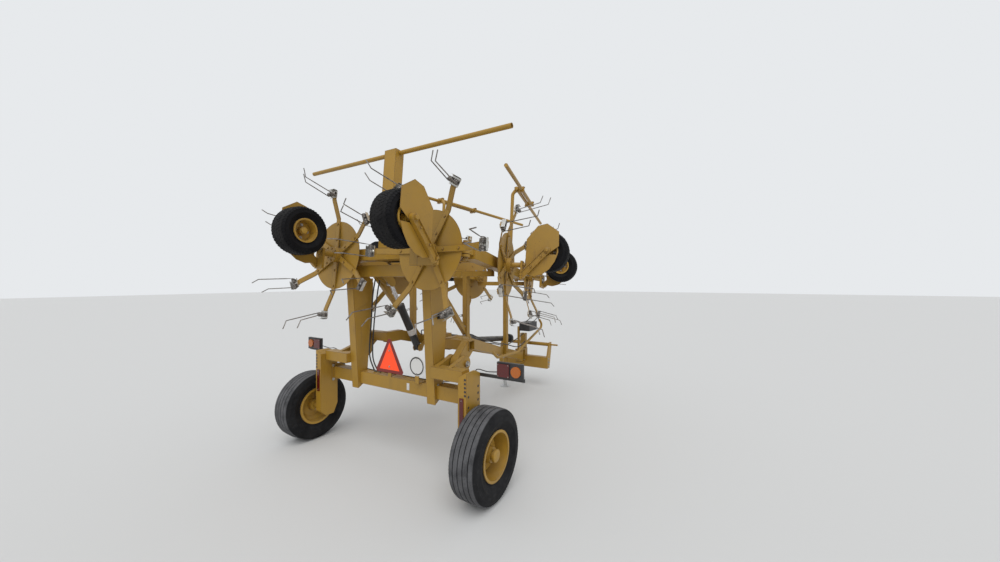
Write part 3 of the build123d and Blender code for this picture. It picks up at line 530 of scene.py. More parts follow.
def zincFinish():
    material, tree, shader = newMaterial("galvanised", 0.45, 0.8)
    grey = ramp(tree, cells(tree, 130.0)["Color"], 0.2, 0.8)
    tone = mixColour(tree, grey, (0.50, 0.51, 0.51), (0.66, 0.67, 0.67))
    dull = ramp(tree, noise(tree, 12.0, 5, 0.6), 0.5, 0.75, 0.0, 0.6)
    tone = mixColour(tree, dull, tone, (0.36, 0.34, 0.30))
    tint(tree, shader, tone)
    bumpInto(tree, shader, noise(tree, 200.0, 3, 0.6), 0.2, 0.0006)
    return material


zinc = zincFinish()
boltZinc = springFinish("zincPlatedSteel", (0.46, 0.45, 0.42), (0.30, 0.28, 0.25), 0.38)
holderZinc = springFinish("holderZinc", (0.74, 0.73, 0.69), (0.48, 0.46, 0.41), 0.30)


def plasticFinish(name, colour, pale, roughness):
    material, tree, shader = newMaterial(name, roughness)
    tone = mixColour(tree, ramp(tree, noise(tree, 8.0, 6, 0.65), 0.35, 0.75), colour, pale)
    tone = overlaid(tree, tone, "settledDust", (0.40, 0.37, 0.32), Amount=0.5, Scale=8.0)
    tint(tree, shader, tone)
    bumpInto(tree, shader, noise(tree, 420.0, 2, 0.5), 0.25, 0.0006)
    return material


blackPlastic = plasticFinish("blackPlastic", (0.022, 0.022, 0.023), (0.05, 0.05, 0.05), 0.48)
decalSheet = plasticFinish("blankDecal", (0.70, 0.69, 0.66), (0.55, 0.53, 0.49), 0.4)
hoseRubber = plasticFinish("hoseRubber", (0.014, 0.014, 0.015), (0.03, 0.03, 0.03), 0.42)


def lensFinish(name, colour, deep):
    # moulded lens: fine upright ribs, with the reflector's glow painted into the colour as lighter bands
    # between darker ones
    material, tree, shader = newMaterial(name, 0.12)
    ribs = add(tree, "TexWave", wave_type="BANDS", bands_direction="X")
    wire(tree, objectPoint(tree), ribs.inputs["Vector"])
    put(ribs, "Scale", 55.0)
    tone = mixColour(tree, ramp(tree, ribs.outputs["Fac"], 0.2, 0.9), deep, colour)
    tone = overlaid(tree, tone, "specks", (0.16, 0.12, 0.08), Scale=50.0, Amount=0.5)
    tint(tree, shader, tone)
    put(shader, "Coat Weight", 0.3)
    put(shader, "Coat Roughness", 0.1)
    bumpInto(tree, shader, ribs.outputs["Fac"], 0.35, 0.001)
    return material


redLens = lensFinish("redLens", (0.15, 0.010, 0.008), (0.05, 0.004, 0.004))
amberLens = lensFinish("amberLens", (0.62, 0.17, 0.012), (0.30, 0.065, 0.006))


def triangleFinish():
    # dark red border inside the sheet's edge, measured from its three long sides
    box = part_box("warning_triangle")
    material, tree, shader = newMaterial("warningSheet", 0.35)
    point = add(tree, "SeparateXYZ")
    wire(tree, objectPoint(tree), point.inputs[0])
    middle = (box[0].x + box[1].x) / 2
    halfWidth = (box[1].x - box[0].x) / 2
    height = box[1].z - box[0].z
    slope = math.atan2(height, halfWidth - 0.018)
    fromMiddle = maths(tree, "ABSOLUTE", minus(tree, point.outputs["X"], middle))
    up = minus(tree, point.outputs["Z"], box[0].z)
    leaning = times(tree, fromMiddle, math.sin(slope))
    leaning = plus(tree, leaning, times(tree, up, math.cos(slope)))
    inside = minus(tree, halfWidth * math.sin(slope), leaning)
    nearest = maths(tree, "MINIMUM", inside, up)
    tone = mixColour(tree, ramp(tree, nearest, 0.031, 0.033), (0.16, 0.014, 0.010), (1.0, 0.075, 0.010))
    tone = overlaid(tree, tone, "specks", (0.40, 0.12, 0.06), Scale=40.0, Amount=0.5)
    tint(tree, shader, tone)
    # painted glow: the fluorescent sheet is made to give off a little light of its own colour, though it is no
    # lamp
    wire(tree, tone, shader.inputs["Emission Color"])
    put(shader, "Emission Strength", 0.22)
    bumpInto(tree, shader, cells(tree, 300.0, "DISTANCE_TO_EDGE")["Distance"], 0.15, 0.0004)
    return material


def speedSignFinish():
    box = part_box("speed_sign")
    centre = (box[0] + box[1]) / 2
    radius = (box[1].x - box[0].x) / 2
    material, tree, shader = newMaterial("speedSignSheet", 0.35)
    dial = useGroup(tree, "axisFrame", Centre=centre, Axis=(0, 1, 0))
    inner = ramp(tree, dial.outputs["Radius"], radius - 0.020, radius - 0.019)
    outer = ramp(tree, dial.outputs["Radius"], radius - 0.006, radius - 0.007)
    ring = times(tree, inner, outer)
    tone = mixColour(tree, ring, (0.72, 0.71, 0.68), (0.02, 0.02, 0.02))
    tone = overlaid(tree, tone, "runStains", (0.40, 0.34, 0.25), Amount=0.5)
    tint(tree, shader, tone)
    bumpInto(tree, shader, noise(tree, 150.0, 3, 0.6), 0.1, 0.0004)
    return material


print("finishes made")


# carried-over nodes get their finish

def wheelSpot(jointName):
    joint = joints[jointName]
    return {"centre": tuple(joint["pos_m"]), "axis": tuple(joint["axis"])}


roadRubber = {
    "colour": (0.010, 0.010, 0.011),
    "greyed": (0.020, 0.020, 0.021),
    "dustColour": (0.13, 0.13, 0.135),
    "treadRadius": 0.372,
    "leastDust": 0.3,
    "mostDust": 0.9,
    "splash": 0.12,
    "ringsPerMetre": 70,
}
turfRubber = dict(roadRubber, treadRadius=0.222, leastDust=0.0, mostDust=0.3, ringsPerMetre=90)
turfRubber.update(colour=(0.005, 0.005, 0.006), greyed=(0.010, 0.010, 0.011), dustColour=(0.045, 0.043, 0.04))
tyreFinish = {}
for side in ("right", "left"):
    look = dict(roadRubber, **wheelSpot("road_wheel_" + side + "_spin"))
    tyreFinish["road_tyre_" + side] = rubberFinish("roadRubber_" + side, look)
for name in rotorTable:
    look = dict(turfRubber, **wheelSpot("gauge_wheel_" + name + "_spin"))
    tyreFinish["gauge_tyre_" + name] = rubberFinish("turfRubber_" + name, look)

nodeFinish = {
    "warning_triangle": triangleFinish(),
    "speed_sign": speedSignFinish(),
    "red_lenses": redLens,
    "amber_lenses": amberLens,
    "lamp_housings": blackPlastic,
    "pto_shaft": blackPlastic,
    "storage_box": blackPlastic,
    "jack_leg": zinc,
    "lift_barrel": blackPaintAndHoleShade,
    "fold_barrel_right": blackPaintAndHoleShade,
    "fold_barrel_left": blackPaintAndHoleShade,
    "lift_rod": chromeRod,
    "fold_rod_right": chromeRod,
    "fold_rod_left": chromeRod,
}
for name, node in frame["nodes"].items():
    finish = nodeFinish.get(name) or tyreFinish.get(name)
    if finish is None:
        finish = yellowPaint
        if name.startswith("rotor_"):
            finish = discPaint
        elif name.startswith("tines_"):
            finish = tineSteel
        elif "_rim_" in name:
            finish = litRimPaint
    coloured(node, finish)
print("nodes dressed")


# masters: one bolt and one open hole

def facesUp(face):
    return face.normal.z > 0.9


def facing(direction):
    return Vector((0, 0, 1)).rotation_difference(Vector(direction)).to_matrix().to_4x4()


def makeBoltMaster():
    # M10 head with a chamfered top on a washer, standing on z = 0
    size = {"head": 0.0098, "tall": 0.0065, "washer": 0.0125, "plate": 0.002}
    head = drum(size["head"], size["tall"], 6, size["plate"])
    selectFaces(head, facesUp)
    stepIn(0.0018, 0.0012)
    leaveEdit()
    washer = drum(size["washer"], size["plate"], 16)
    bevelEdges(washer, 0.0005, 1)
    return joined([head, washer])


def makeHoleMaster():
    # rim of an open hole, 20 mm wide, on z = 0, with a shallow sunk floor painted black: painted shade inside
    # the hole
    hole = drum(0.0115, 0.002, 20, -0.0005)
    coloured(hole, yellowPaint, blackPaintAndHoleShade)
    selectFaces(hole, facesUp)
    bpy.ops.mesh.inset(thickness=0.0018)
    # the black slot on the sunk floor is painted shade
    hole.active_material_index = 1
    bpy.ops.object.material_slot_assign()
    bpy.ops.transform.translate(value=(0, 0, -0.0012))
    leaveEdit()
    return hole


boltMaster = makeBoltMaster()
holeMaster = makeHoleMaster()
axleY = joints["road_wheel_right_spin"]["pos_m"][1]
rowPlace = moved(0, axleY, 0)


def scattered(master, rows, place):
    # rows: point, direction, size against the master
    copies = []
    for point, way, size in rows:
        copies.append(copyTo(master, place @ Matrix.Translation(point) @ facing(way) @ Matrix.Scale(size, 4)))
    return copies


def grid(xs, ys, zs, way, size):
    return [((x, y, z), way, size) for x in xs for y in ys for z in zs]


def ring(centre, way, radius, count, size, turn=0):
    tilt = facing(way)
    rows = []
    for step in range(count):
        angle = math.radians(turn + 360 * step / count)
        arm = tilt @ Vector((radius * math.cos(angle), radius * math.sin(angle), 0))
        rows.append((Vector(centre) + arm, way, size))
    return rows


def mirrored(rows):
    both = list(rows)
    for point, way, size in rows:
        both.append((Vector((-point[0], point[1], point[2])), (-way[0], way[1], way[2]), size))
    return both


# bolts and open holes, body by body

def frameBolts():
    # one side's leg clamps, lamp bar, lift lugs, pivot pin, hub, lamp and reflector, then the middle plates
    rows = grid([0.943], [0.0875, 0.2325], [0.685, 0.845], (-1, 0, 0), 1.3)
    rows += grid([0.590], [0.115], [0.70, 0.83], (1, 0, 0), 1.2)
    rows += grid([0.590], [0.185], [0.74, 0.83], (1, 0, 0), 1.2)
    rows += grid([0.44], [0.20], [1.89, 1.96], (0, 1, 0), 1.1)
    rows += ring((0.814, 0.28, 1.025), (1, 0, 0), 0.0, 1, 2.2)
    rows += ring((1.045, 0.0, 0.38), (1, 0, 0), 0.058, 5, 0.9)
    rows += grid([1.252, 1.351], [0.112], [1.007, 1.105], (0, -1, 0), 0.35)
    rows += grid([1.03, 1.20, 1.44], [0.156], [0.985], (0, 1, 0), 0.8)
    rows += grid([0.995], [-0.068], [0.60, 0.80], (0, -1, 0), 0.4)
    rows = mirrored(rows)
    rows += grid([-0.04], [0.097], [0.935, 1.10], (0, -1, 0), 0.8)
    rows += grid([0.385], [0.045], [0.925, 1.075], (0, -1, 0), 0.6)
    return scattered(boltMaster, rows, rowPlace)


def frameHoles():
    # three rows of holes in a leg, the first in its rear face, then the wide hole of its pivot
    rows = grid([1.030], [-0.06], [0.845 + 0.034 * step for step in range(5)], (0, -1, 0), 1.0)
    rows += grid([1.045], [0.118], [0.47 + 0.06 * step for step in range(8)], (1, 0, 0), 1.1)
    rows += grid([1.045], [-0.03], [0.47 + 0.09 * step for step in range(5)], (1, 0, 0), 1.0)
    rows += grid([1.045], [0.06], [0.62], (1, 0, 0), 2.6)
    return scattered(holeMaster, mirrored(rows), rowPlace)


def workBolts(side):
    # bolts of one beam: gearbox covers, spindle feet, guard sides, fold lugs
    rows = []
    for name, station, shift in rotorsOn(side):
        rows += ring((station, 0, coverZ), (0, 0, 1), 0.068, 8, 1.0)
        rows += ring((station, 0, spindleZ), (0, 0, -1), 0.0, 1, 2.6)
        rows += ring((station, 0, spindleZ), (0, 0, -1), 0.034, 4, 0.8, 45)
        hand = carrierHand[name]
        guardX = station + shift + hand * 0.1605
        for y, z, size in ((gaugeY, gaugeZ, 2.2), (-0.095, -0.397, 0.9), (0.02, -0.285, 1.0)):
            rows.append(((guardX, y, z), (hand, 0, 0), size))
        rows += grid([station + hand * 0.04], [0.11, 0.15], [-0.165], (0, 0, 1), 1.0)
    if side:
        clampX, clampY = [side * 2.54, side * 3.20], [-1.105, -1.055]
        rows += grid(clampX, clampY, [0.091], (0, 0, 1), 0.9)
        rows += grid(clampX, clampY, [-0.034], (0, 0, -1), 0.9)
        rows.append(((side * 1.30, side * 0.032 + 0.026, 0.31), (0, 1, 0), 1.8))
        rows.append(((side * 1.30, side * 0.032 - 0.026, 0.31), (0, -1, 0), 1.8))
        rows += grid([side * 3.42], [-0.04, 0.04], [0.08, 0.16], (side, 0, 0), 1.0)
    else:
        rows += grid([-0.96, 0.96], [0.068], [0.12], (0, 1, 0), 2.4)
        rows += grid([-0.96, 0.96], [-0.068], [0.12], (0, -1, 0), 2.4)
        # the fold cylinders' foot pins have no head towards the other cylinder
        rows += [((-hand * 0.13, hand * 0.058, 0.262), (0, hand, 0), 1.8) for hand in (-1, 1)]
        rows += grid([-0.055, 0.055], [-0.10, -0.16, -0.22], [0.17], (0, 0, 1), 1.2)
    return scattered(boltMaster, rows, hostPlace(side))


def rotorBolts(name):
    rows = ring((0, 0, -0.06), (0, 0, -1), 0.062, 6, 0.9, 30)
    slope = math.atan2(0.024, 0.29)  # the disc's dish
    for arm in range(armCount):
        angle = 2 * math.pi * arm / armCount
        out = Vector((math.cos(angle), math.sin(angle), 0))
        up = (out.x * math.sin(slope), out.y * math.sin(slope), math.cos(slope))
        for reach, top in ((0.165, 0.0205), (0.335, 0.0065)):
            rows.append((out * reach + Vector((0, 0, top)), up, 1.1))
            rows.append((out * reach + Vector((0, 0, -0.011)), (0, 0, -1), 1.1))
    return scattered(boltMaster, rows, rotorPlace(name))


def gaugeBolts(name):
    rows = []
    for hand in (1, -1):
        rows += ring((hand * 0.012, 0, 0), (hand, 0, 0), 0.062, 4, 1.2)
    return scattered(boltMaster, rows, gaugePlace(name))


def drawbarBolts():
    gearboxX = [-0.07, 0.07]
    rows = grid(gearboxX, [0.69], [1.07, 1.22], (0, -1, 0), 1.2)
    rows += grid(gearboxX, [0.865], [1.07, 1.22], (0, 1, 0), 1.0)
    rows += grid(gearboxX, [0.71, 0.84], [1.25], (0, 0, 1), 1.0)
    rows += ring((0, 0.69, 1.145), (0, -1, 0), 0.045, 6, 0.9)
    rows += grid([-0.41, 0.41], [0.80], [1.20, 1.30], (0, -1, 0), 1.2)
    rows += grid([-0.65, -0.55, 0.55, 0.65], [0.83], [1.932], (0, 0, 1), 1.2)
    for y in (2.15, 2.25):
        noseTop = 1.23 - 0.27 * (y - 0.65)
        rows.append(((0.0, y, noseTop), (0, 0, 1), 1.4))
    rows += grid([-0.22], [2.842], [0.50, 0.70], (0, -1, 0), 1.0)
    return scattered(boltMaster, rows, rowPlace)


def hitchBolts():
    rows = mirrored(grid([0.47], [3.16], [0.37, 0.43, 0.49], (1, 0, 0), 1.4))
    rows += grid([-0.04, 0.04], [3.10], [0.44, 0.64], (0, -1, 0), 1.0)
    return scattered(boltMaster, rows, rowPlace)


def addBolts():
    dressed(joined(workBolts(0)), discPaint, "bolts_centre_beam", "rear_frame")
    groupsOfBolts = [
        ("rear_frame", frameBolts()),
        ("wing_right", workBolts(1)),
        ("wing_left", workBolts(-1)),
        ("drawbar", drawbarBolts()),
        ("hitch", hitchBolts()),
    ]
    for name in rotorTable:
        groupsOfBolts.append(("rotor_" + name, rotorBolts(name)))
        groupsOfBolts.append(("gauge_wheel_" + name, gaugeBolts(name)))
    for body, pieces in groupsOfBolts:
        painted = body.startswith(("rotor_", "wing_"))
        finish, slotName = (discPaint, "paint") if painted else (boltZinc, "galvanised")
        dressed(joined(pieces), finish, "bolts_" + body, body)
    finished(joined(frameHoles()), "leg_holes", "rear_frame")
    discard(boltMaster, holeMaster)


# gauge wheel carriers: spindle, foot, channel and the two guard plates

carrierHand = {"1": -1, "2": 1, "3": -1, "4": 1, "5": -1, "6": -1}  # side of the wheel that the channel is on
guardOutline = [
    (0.045, -0.230), (-0.089, -0.217), (-0.292, -0.224), (-0.325, -0.251), (-0.440, -0.346),
    (-0.465, -0.449), (-0.412, -0.524), (-0.371, -0.582), (-0.210, -0.585),
]
shieldOutline = [
    (-0.115, -0.572), (-0.036, -0.541), (0.046, -0.484), (0.103, -0.409), (0.128, -0.316),
    (0.110, -0.220), (0.060, -0.190), (-0.120, -0.480),
]


def cutPlate(outline, thick):
    # sheet in the YZ plane, cut to a convex outline edge by edge
    middle = Vector((0, 0, 0))
    for y, z in outline:
        middle += Vector((0, y, z)) / len(outline)
    plate = block((thick, 1.2, 1.2), middle)
    enterEdit()
    for k, (y, z) in enumerate(outline):
        start = Vector((0, y, z))
        end = Vector((0, *outline[(k + 1) % len(outline)]))
        away = Vector((1, 0, 0)).cross(end - start)
        if away.dot(middle - start) > 0:
            away.negate()
        bpy.ops.mesh.select_all(action="SELECT")
        bpy.ops.mesh.bisect(plane_co=start, plane_no=away, use_fill=True, clear_outer=True)
    bpy.ops.mesh.select_all(action="SELECT")
    bpy.ops.mesh.normals_make_consistent(inside=False)
    leaveEdit()
    bevelEdges(plate, 0.0012, 1, 30)
    return plate


def plainRound(radius, start, end, sides=24):
    run = Vector(end) - Vector(start)
    piece = drum(radius, run.length, sides)
    bevelEdges(piece, 0.0015, 2, 50)
    smoothByAngle(piece, 40)
    piece.data.transform(Matrix.Translation(start) @ facing(run))
    return piece


def boxBetween(low, high, edge=0.0015):
    low, high = Vector(low), Vector(high)
    piece = block(high - low, (low + high) / 2)
    bevelEdges(piece, edge, 2, 50)
    return piece


def makeCarrier(shift, hand):
    x = shift + hand * 0.140
    axle, foot = Vector((x, gaugeY, gaugeZ)), Vector((x, 0.13, -0.1775))
    halfBoss = Vector((0.0205, 0, 0))
    parts = [
        plainRound(0.0295, (0, 0, 0.06), (0, 0, spindleZ), 32),
        boxBetween((-0.045, -0.045, spindleZ), (0.045, 0.165, -0.165)),
        boxBetween((min(0, x - 0.02), 0.095, -0.1895), (max(0, x + 0.02), 0.165, -0.1655)),
        plainRound(0.020, axle, (shift - hand * 0.075, gaugeY, gaugeZ)),
        plainRound(0.035, axle - halfBoss, axle + halfBoss, 32),
    ]
    # channel with its open side sunk between two flanges
    run = axle - foot
    channel = block((0.040, 0.070, run.length), (0, 0, run.length / 2))
    selectFaces(channel, lambda face: face.normal.x * hand > 0.9)
    bpy.ops.mesh.inset(thickness=0.008)
    pushOut(-hand * 0.014, 0, 0)
    leaveEdit()
    bevelEdges(channel, 0.002, 2, 50)
    channel.data.transform(Matrix.Translation(foot) @ Matrix.Rotation(math.atan2(-run.y, run.z), 4, "X"))
    parts.append(channel)
    for outline in (guardOutline, shieldOutline):
        plate = cutPlate(outline, 0.004)
        plate.data.transform(moved(x - hand * 0.0222))
        parts.append(plate)
    return joined(parts)


def addCarriers():
    hosts = {0: "centre_struts", 1: "wing_struts_right", -1: "wing_struts_left"}
    masters = {}
    for side, replaced in hosts.items():
        pieces = []
        for name, station, shift in rotorsOn(side):
            kind = (shift, carrierHand[name])
            if kind not in masters:
                masters[kind] = makeCarrier(*kind)
            pieces.append(copyTo(masters[kind], hostPlace(side) @ moved(station)))
        body = hostBody[side]
        whole = dressed(joined(pieces), discPaint, "wheel_carriers_" + body, body)
        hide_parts(replaced)
    discard(*masters.values())


# spring tines: coiled wire, holder and bolt

def wireMesh(name, runs, radius):
    # runs: lists of points; round wire with closed ends
    curve = bpy.data.curves.new(name, "CURVE")
    curve.dimensions = "3D"
    curve.bevel_depth = radius
    curve.bevel_resolution = 1
    curve.use_fill_caps = True
    for points in runs:
        spline = curve.splines.new("POLY")
        spline.points.add(len(points) - 1)
        for spot, point in zip(spline.points, points):
            spot.co = (*point, 1)
    holder = bpy.data.objects.new(name, curve)
    bpy.context.scene.collection.objects.link(holder)
    activate(holder)
    bpy.ops.object.convert(target="MESH")
    mesh = bpy.context.object
    smoothByAngle(mesh, 40)
    return mesh


def makeTine():
    clampX, coilZ, coil, inner, outer, turns, perTurn = 0.640, -0.106, 0.0185, 0.012, 0.058, 4, 12
    runs = []
    # each wire ends in a bend and a tip, given as x and z
    for side, bend, tip in ((1, (0.703, -0.440), (0.782, -0.466)), (-1, (0.692, -0.368), (0.768, -0.396))):
        points = [(clampX - 0.004, 0, coilZ - coil)]
        steps = turns * perTurn + 3
        for step in range(steps + 1):
            angle = -math.pi / 2 - 2 * math.pi * step / perTurn
            y = inner + (outer - inner) * step / steps
            points.append((clampX + coil * math.cos(angle), side * y, coilZ + coil * math.sin(angle)))
        y = side * outer
        x, _, z = points[-1]
        for share in (0.25, 0.5, 0.75, 1.0):
            points.append((x + share * (bend[0] - x), y, z + share * (bend[1] - z)))
        points.append((tip[0], y, tip[1]))
        runs.append(points)
    return wireMesh("tineWire", runs, 0.0050)


def makeTineHolder():
    # pressed holder: base plate, a bent flap over the coils and the bolt through the arm
    plate = block((0.070, 0.104, 0.005), (0.640, 0, -0.0845))
    selectFaces(plate, lambda face: face.normal.x > 0.9)
    pushOut(0.008, 0, -0.010)
    pushOut(0.002, 0, -0.030)
    leaveEdit()
    selectFaces(plate, lambda face: face.normal.x < -0.9 and face.center.x < 0.62)
    pushOut(-0.005, 0, -0.012)
    leaveEdit()
    bevelEdges(plate, 0.0012, 2)
    bolts = [
        ((0.625, 0, -0.070), (0, 0, 1), 1.3),
        ((0.625, 0, -0.087), (0, 0, -1), 1.3),
        ((0.657, 0, -0.070), (0, 0, 1), 0.9),
    ]
    return joined([plate] + scattered(boltMaster, bolts, Matrix()))


def addTines():
    tine = makeTine()
    holder = makeTineHolder()
    coloured(holder, holderZinc)
    coloured(tine, tineSteel)
    for name in rotorTable:
        wires, holders = [], []
        for arm in range(armCount):
            place = rotorPlace(name) @ turned(360 * arm / armCount, "Z")
            wires.append(copyTo(tine, place))
            holders.append(copyTo(holder, place))
        wires = finished(joined(wires), "spring_tines_" + name, "rotor_" + name)
        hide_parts("tines_" + name)
        finished(joined(holders), "tine_holders_" + name, "rotor_" + name)
    discard(tine, holder)


# tyre treads

def makeLug(long, wide, tall, narrow):
    lug = block((long, wide, tall))
    selectFaces(lug, facesUp)
    bpy.ops.transform.resize(value=(narrow, narrow, 1), center_override=(0, 0, tall / 2))
    leaveEdit()
    return lug


def treadRing(lug, rows, count):
    # rows: x, radius, lean of the surface, turn of each lug, phase
    pieces = []
    for x, radius, lean, turn, phase in rows:
        for step in range(count):
            place = turned(360 * (step + phase) / count, "X")
            place = place @ moved(x, 0, radius) @ turned(lean, "Y")
            place = place @ turned(turn, "Z")
            pieces.append(copyTo(lug, place))
    return joined(pieces)


def addTurfTreads():
    lug = makeLug(0.034, 0.013, 0.008, 0.82)
    rows = [(0.0, 0.2270, 0, 0, 0.0)]
    for hand in (1, -1):
        rows.append((hand * 0.036, 0.2255, hand * 2, hand * 24, 0.5))
        rows.append((hand * 0.068, 0.2225, hand * 14, hand * -24, 0.0))
        rows.append((hand * 0.093, 0.2095, hand * 32, 0, 0.5))
    tread = treadRing(lug, rows, 46)
    for name in rotorTable:
        tyre = tyreFinish["gauge_tyre_" + name]
        dressed(copyTo(tread, gaugePlace(name)), tyre, "turf_tread_" + name, "gauge_wheel_" + name)
    discard(lug, tread)


def addRoadTreads():
    # small shoulder lugs between the ribs' edges and the sidewall
    lug = makeLug(0.016, 0.017, 0.007, 0.8)
    tread = treadRing(lug, [(hand * 0.1065, 0.3655, hand * 35, 0, 0.0) for hand in (1, -1)], 84)
    for side in ("right", "left"):
        wheel = "road_wheel_" + side
        piece = copyTo(tread, Matrix.Translation(joints[wheel + "_spin"]["pos_m"]))
        dressed(piece, tyreFinish["road_tyre_" + side], "road_tread_" + side, wheel)
    discard(lug, tread)


# wheel trim: hub caps and valves

def makeHubCap(radius, deep):
    cap = drum(radius, deep, 28)
    selectFaces(cap, facesUp)
    stepIn(radius * 0.22, deep * 0.25)
    stepIn(radius * 0.3, deep * 0.12)
    leaveEdit()
    bevelEdges(cap, 0.0012, 2, 25)
    smoothByAngle(cap, 40)
    return cap


def addHubCaps():
    big = makeHubCap(0.052, 0.022)
    small = makeHubCap(0.030, 0.012)
    valve = wireMesh("valveStem", [[(0, 0, -0.01), (0, 0, 0.02), (0.0, 0.004, 0.034)]], 0.004)
    for side, hand in (("right", 1), ("left", -1)):
        wheel = "road_wheel_" + side
        centre = Matrix.Translation(joints[wheel + "_spin"]["pos_m"])
        cap = copyTo(big, centre @ moved(hand * 0.080) @ facing((hand, 0, 0)))
        dressed(cap, litRimPaint, "hub_cap_" + side, wheel)
        seat = Matrix.Rotation(0.6, 4, "X") @ moved(hand * 0.018, 0, 0.155)  # the valve, 0.6 rad round the rim
        stem = copyTo(valve, centre @ seat @ facing((hand, 0, 0.25)))
        dressed(stem, blackPlastic, "valve_" + side, wheel)
    for name in rotorTable:
        place = gaugePlace(name)
        caps = []
        for hand in (-1, 1):
            seat = moved(hand * 0.060) @ facing((hand, 0, 0))
            caps.append(copyTo(small, place @ seat))
        caps.append(copyTo(valve, place @ moved(0.03, 0, 0.088) @ facing((1, 0, 0.3))))
        dressed(joined(caps), litRimPaint, "gauge_caps_" + name, "gauge_wheel_" + name)
    discard(big, small, valve)


# hoses and wires

def smoothPath(points, steps=8):
    # Catmull-Rom through the given points
    knots = [2 * points[0] - points[1]] + points + [2 * points[-1] - points[-2]]
    path = []
    for k in range(1, len(knots) - 2):
        a, b, c, d = knots[k - 1:k + 3]
        slope, bend, twist = c - a, 2 * a - 5 * b + 4 * c - d, 3 * b - a - 3 * c + d
        for step in range(steps):
            t = step / steps
            path.append(0.5 * (2 * b + slope * t + bend * t ** 2 + twist * t ** 3))
    path.append(knots[-2])
    return path


hoseTable = [  # name, body, radius, points from the axle's line
    ("post_hose_a", "rear_frame", 0.008, [
        (-0.13, 0.2, 2), (-0.36, 0.235, 1.93), (-0.45, 0.24, 1.7), (-0.46, 0.22, 1.35),
        (-0.44, 0.18, 1.02), (-0.36, 0.17, 0.86), (-0.3, 0.16, 0.832),
    ]),
    ("post_hose_b", "rear_frame", 0.008, [
        (-0.1, 0.22, 1.99), (-0.33, 0.25, 1.88), (-0.41, 0.25, 1.6), (-0.43, 0.23, 1.3),
        (-0.4, 0.19, 1), (-0.33, 0.18, 0.87), (-0.25, 0.17, 0.832),
    ]),
    ("post_hose_c", "rear_frame", 0.008, [
        (0.1, 0.21, 1.99), (0.3, 0.24, 1.9), (0.44, 0.25, 1.72), (0.45, 0.23, 1.5), (0.44, 0.205, 1.28),
        (0.46, 0.18, 1.05), (0.42, 0.17, 0.84),
    ]),
    ("lamp_wire_right", "rear_frame", 0.0045, [
        (0.05, 0.2, 0.833), (0.45, 0.205, 0.834), (0.6, 0.245, 0.836), (0.9, 0.24, 0.9),
        (1, 0.162, 1.02), (1.12, 0.165, 1.015), (1.25, 0.16, 1.03),
    ]),
    ("rail_hose_a", "drawbar", 0.008, [
        (-0.3, 0.86, 1.15), (-0.36, 0.95, 1.19), (-0.34, 1.15, 1.12), (-0.25, 1.5, 1.02),
        (-0.16, 1.9, 0.92), (-0.1, 2.3, 0.83), (-0.08, 2.65, 0.76), (0.02, 2.85, 0.84),
        (0.1, 2.95, 0.93),
    ]),
    ("rail_hose_b", "drawbar", 0.008, [
        (0.36, 0.8, 1.17), (0.37, 0.95, 1.19), (0.34, 1.15, 1.13), (0.26, 1.5, 1.03), (0.17, 1.9, 0.93),
        (0.12, 2.3, 0.84), (0.17, 2.6, 0.76), (0.2, 2.8, 0.82),
    ]),
    ("guide_hose_a", "drawbar", 0.0075, [
        (0.2, 3.4, 1.1), (0.2, 3.34, 1.16), (0.23, 3.22, 1.17), (0.24, 3.1, 1.14), (0.23, 3.02, 1.123),
    ]),
    ("guide_hose_b", "drawbar", 0.0075, [
        (0.19, 3.41, 1.11), (0.17, 3.36, 1.19), (0.15, 3.24, 1.2), (0.13, 3.12, 1.16), (0.12, 3, 1.123),
    ]),
]


def addHose(name, body, radius, points):
    path = smoothPath([rowPlace @ Vector(point) for point in points])
    dressed(wireMesh(name, [path], radius), hoseRubber, name, body)


def addHoses():
    for name, body, radius, points in hoseTable:
        addHose(name, body, radius, points)
        if name == "lamp_wire_right":
            addHose("lamp_wire_left", body, radius, [(-x, y, z) for x, y, z in points])


# drive line and gearboxes

def addShaftTrim():
    # ribs round the guards of the drive shaft
    rear, front = Vector((0, 0.985, 1.075)), Vector((0, 2.65, 0.88))
    run = front - rear
    turn = facing(run)
    rings = []
    ribs = [(0.015, 0.079), (0.04, 0.082), (0.065, 0.079), (0.09, 0.076)]
    ribs += [(0.262, 0.063), (0.32, 0.063), (0.97, 0.067)]
    for share, radius in ribs:
        bpy.ops.mesh.primitive_torus_add(
            major_segments=32, minor_segments=8, major_radius=radius, minor_radius=0.0045,
        )
        rib = bpy.context.object
        activate(rib)
        enterEdit()
        bpy.ops.mesh.select_all(action="SELECT")
        bpy.ops.transform.resize(value=(1, 1, 1.5), center_override=(0, 0, 0))
        leaveEdit()
        rings.append(copyTo(rib, rowPlace @ Matrix.Translation(rear + share * run) @ turn))
        discard(rib)
    whole = joined(rings)
    smoothByAngle(whole, 60)
    dressed(whole, blackPlastic, "shaft_rings", "drawbar")


def makeCover(radius, tall, ribs):
    # round gearbox cover with cast ribs and a raised boss
    sides = 32
    cover = drum(radius, tall, sides)
    selectFaces(cover, facesUp)
    bpy.ops.mesh.inset(thickness=radius * 0.42)
    pushOut(0, 0, tall * 0.8)
    stepIn(radius * 0.12, -0.003)
    leaveEdit()

    def isRib(face):
        turn = math.degrees(math.atan2(face.center.y, face.center.x)) * sides / 360
        onRim = abs(face.normal.z) < 0.1 and face.center.xy.length > radius * 0.9
        return onRim and round(turn) % (sides // ribs) == 0

    selectFaces(cover, isRib)
    bpy.ops.mesh.extrude_faces_move(TRANSFORM_OT_shrink_fatten={"value": 0.004})
    leaveEdit()
    bevelEdges(cover, 0.0015, 2, 50)
    return cover


def addCovers():
    master = makeCover(0.052, 0.014, 8)
    for side, body in hostBody.items():
        covers = []
        for name, station, shift in rotorsOn(side):
            covers.append(copyTo(master, hostPlace(side) @ moved(station, 0, coverZ)))
        dressed(joined(covers), yellowPaint, "gearbox_covers_" + body, body)
    discard(master)


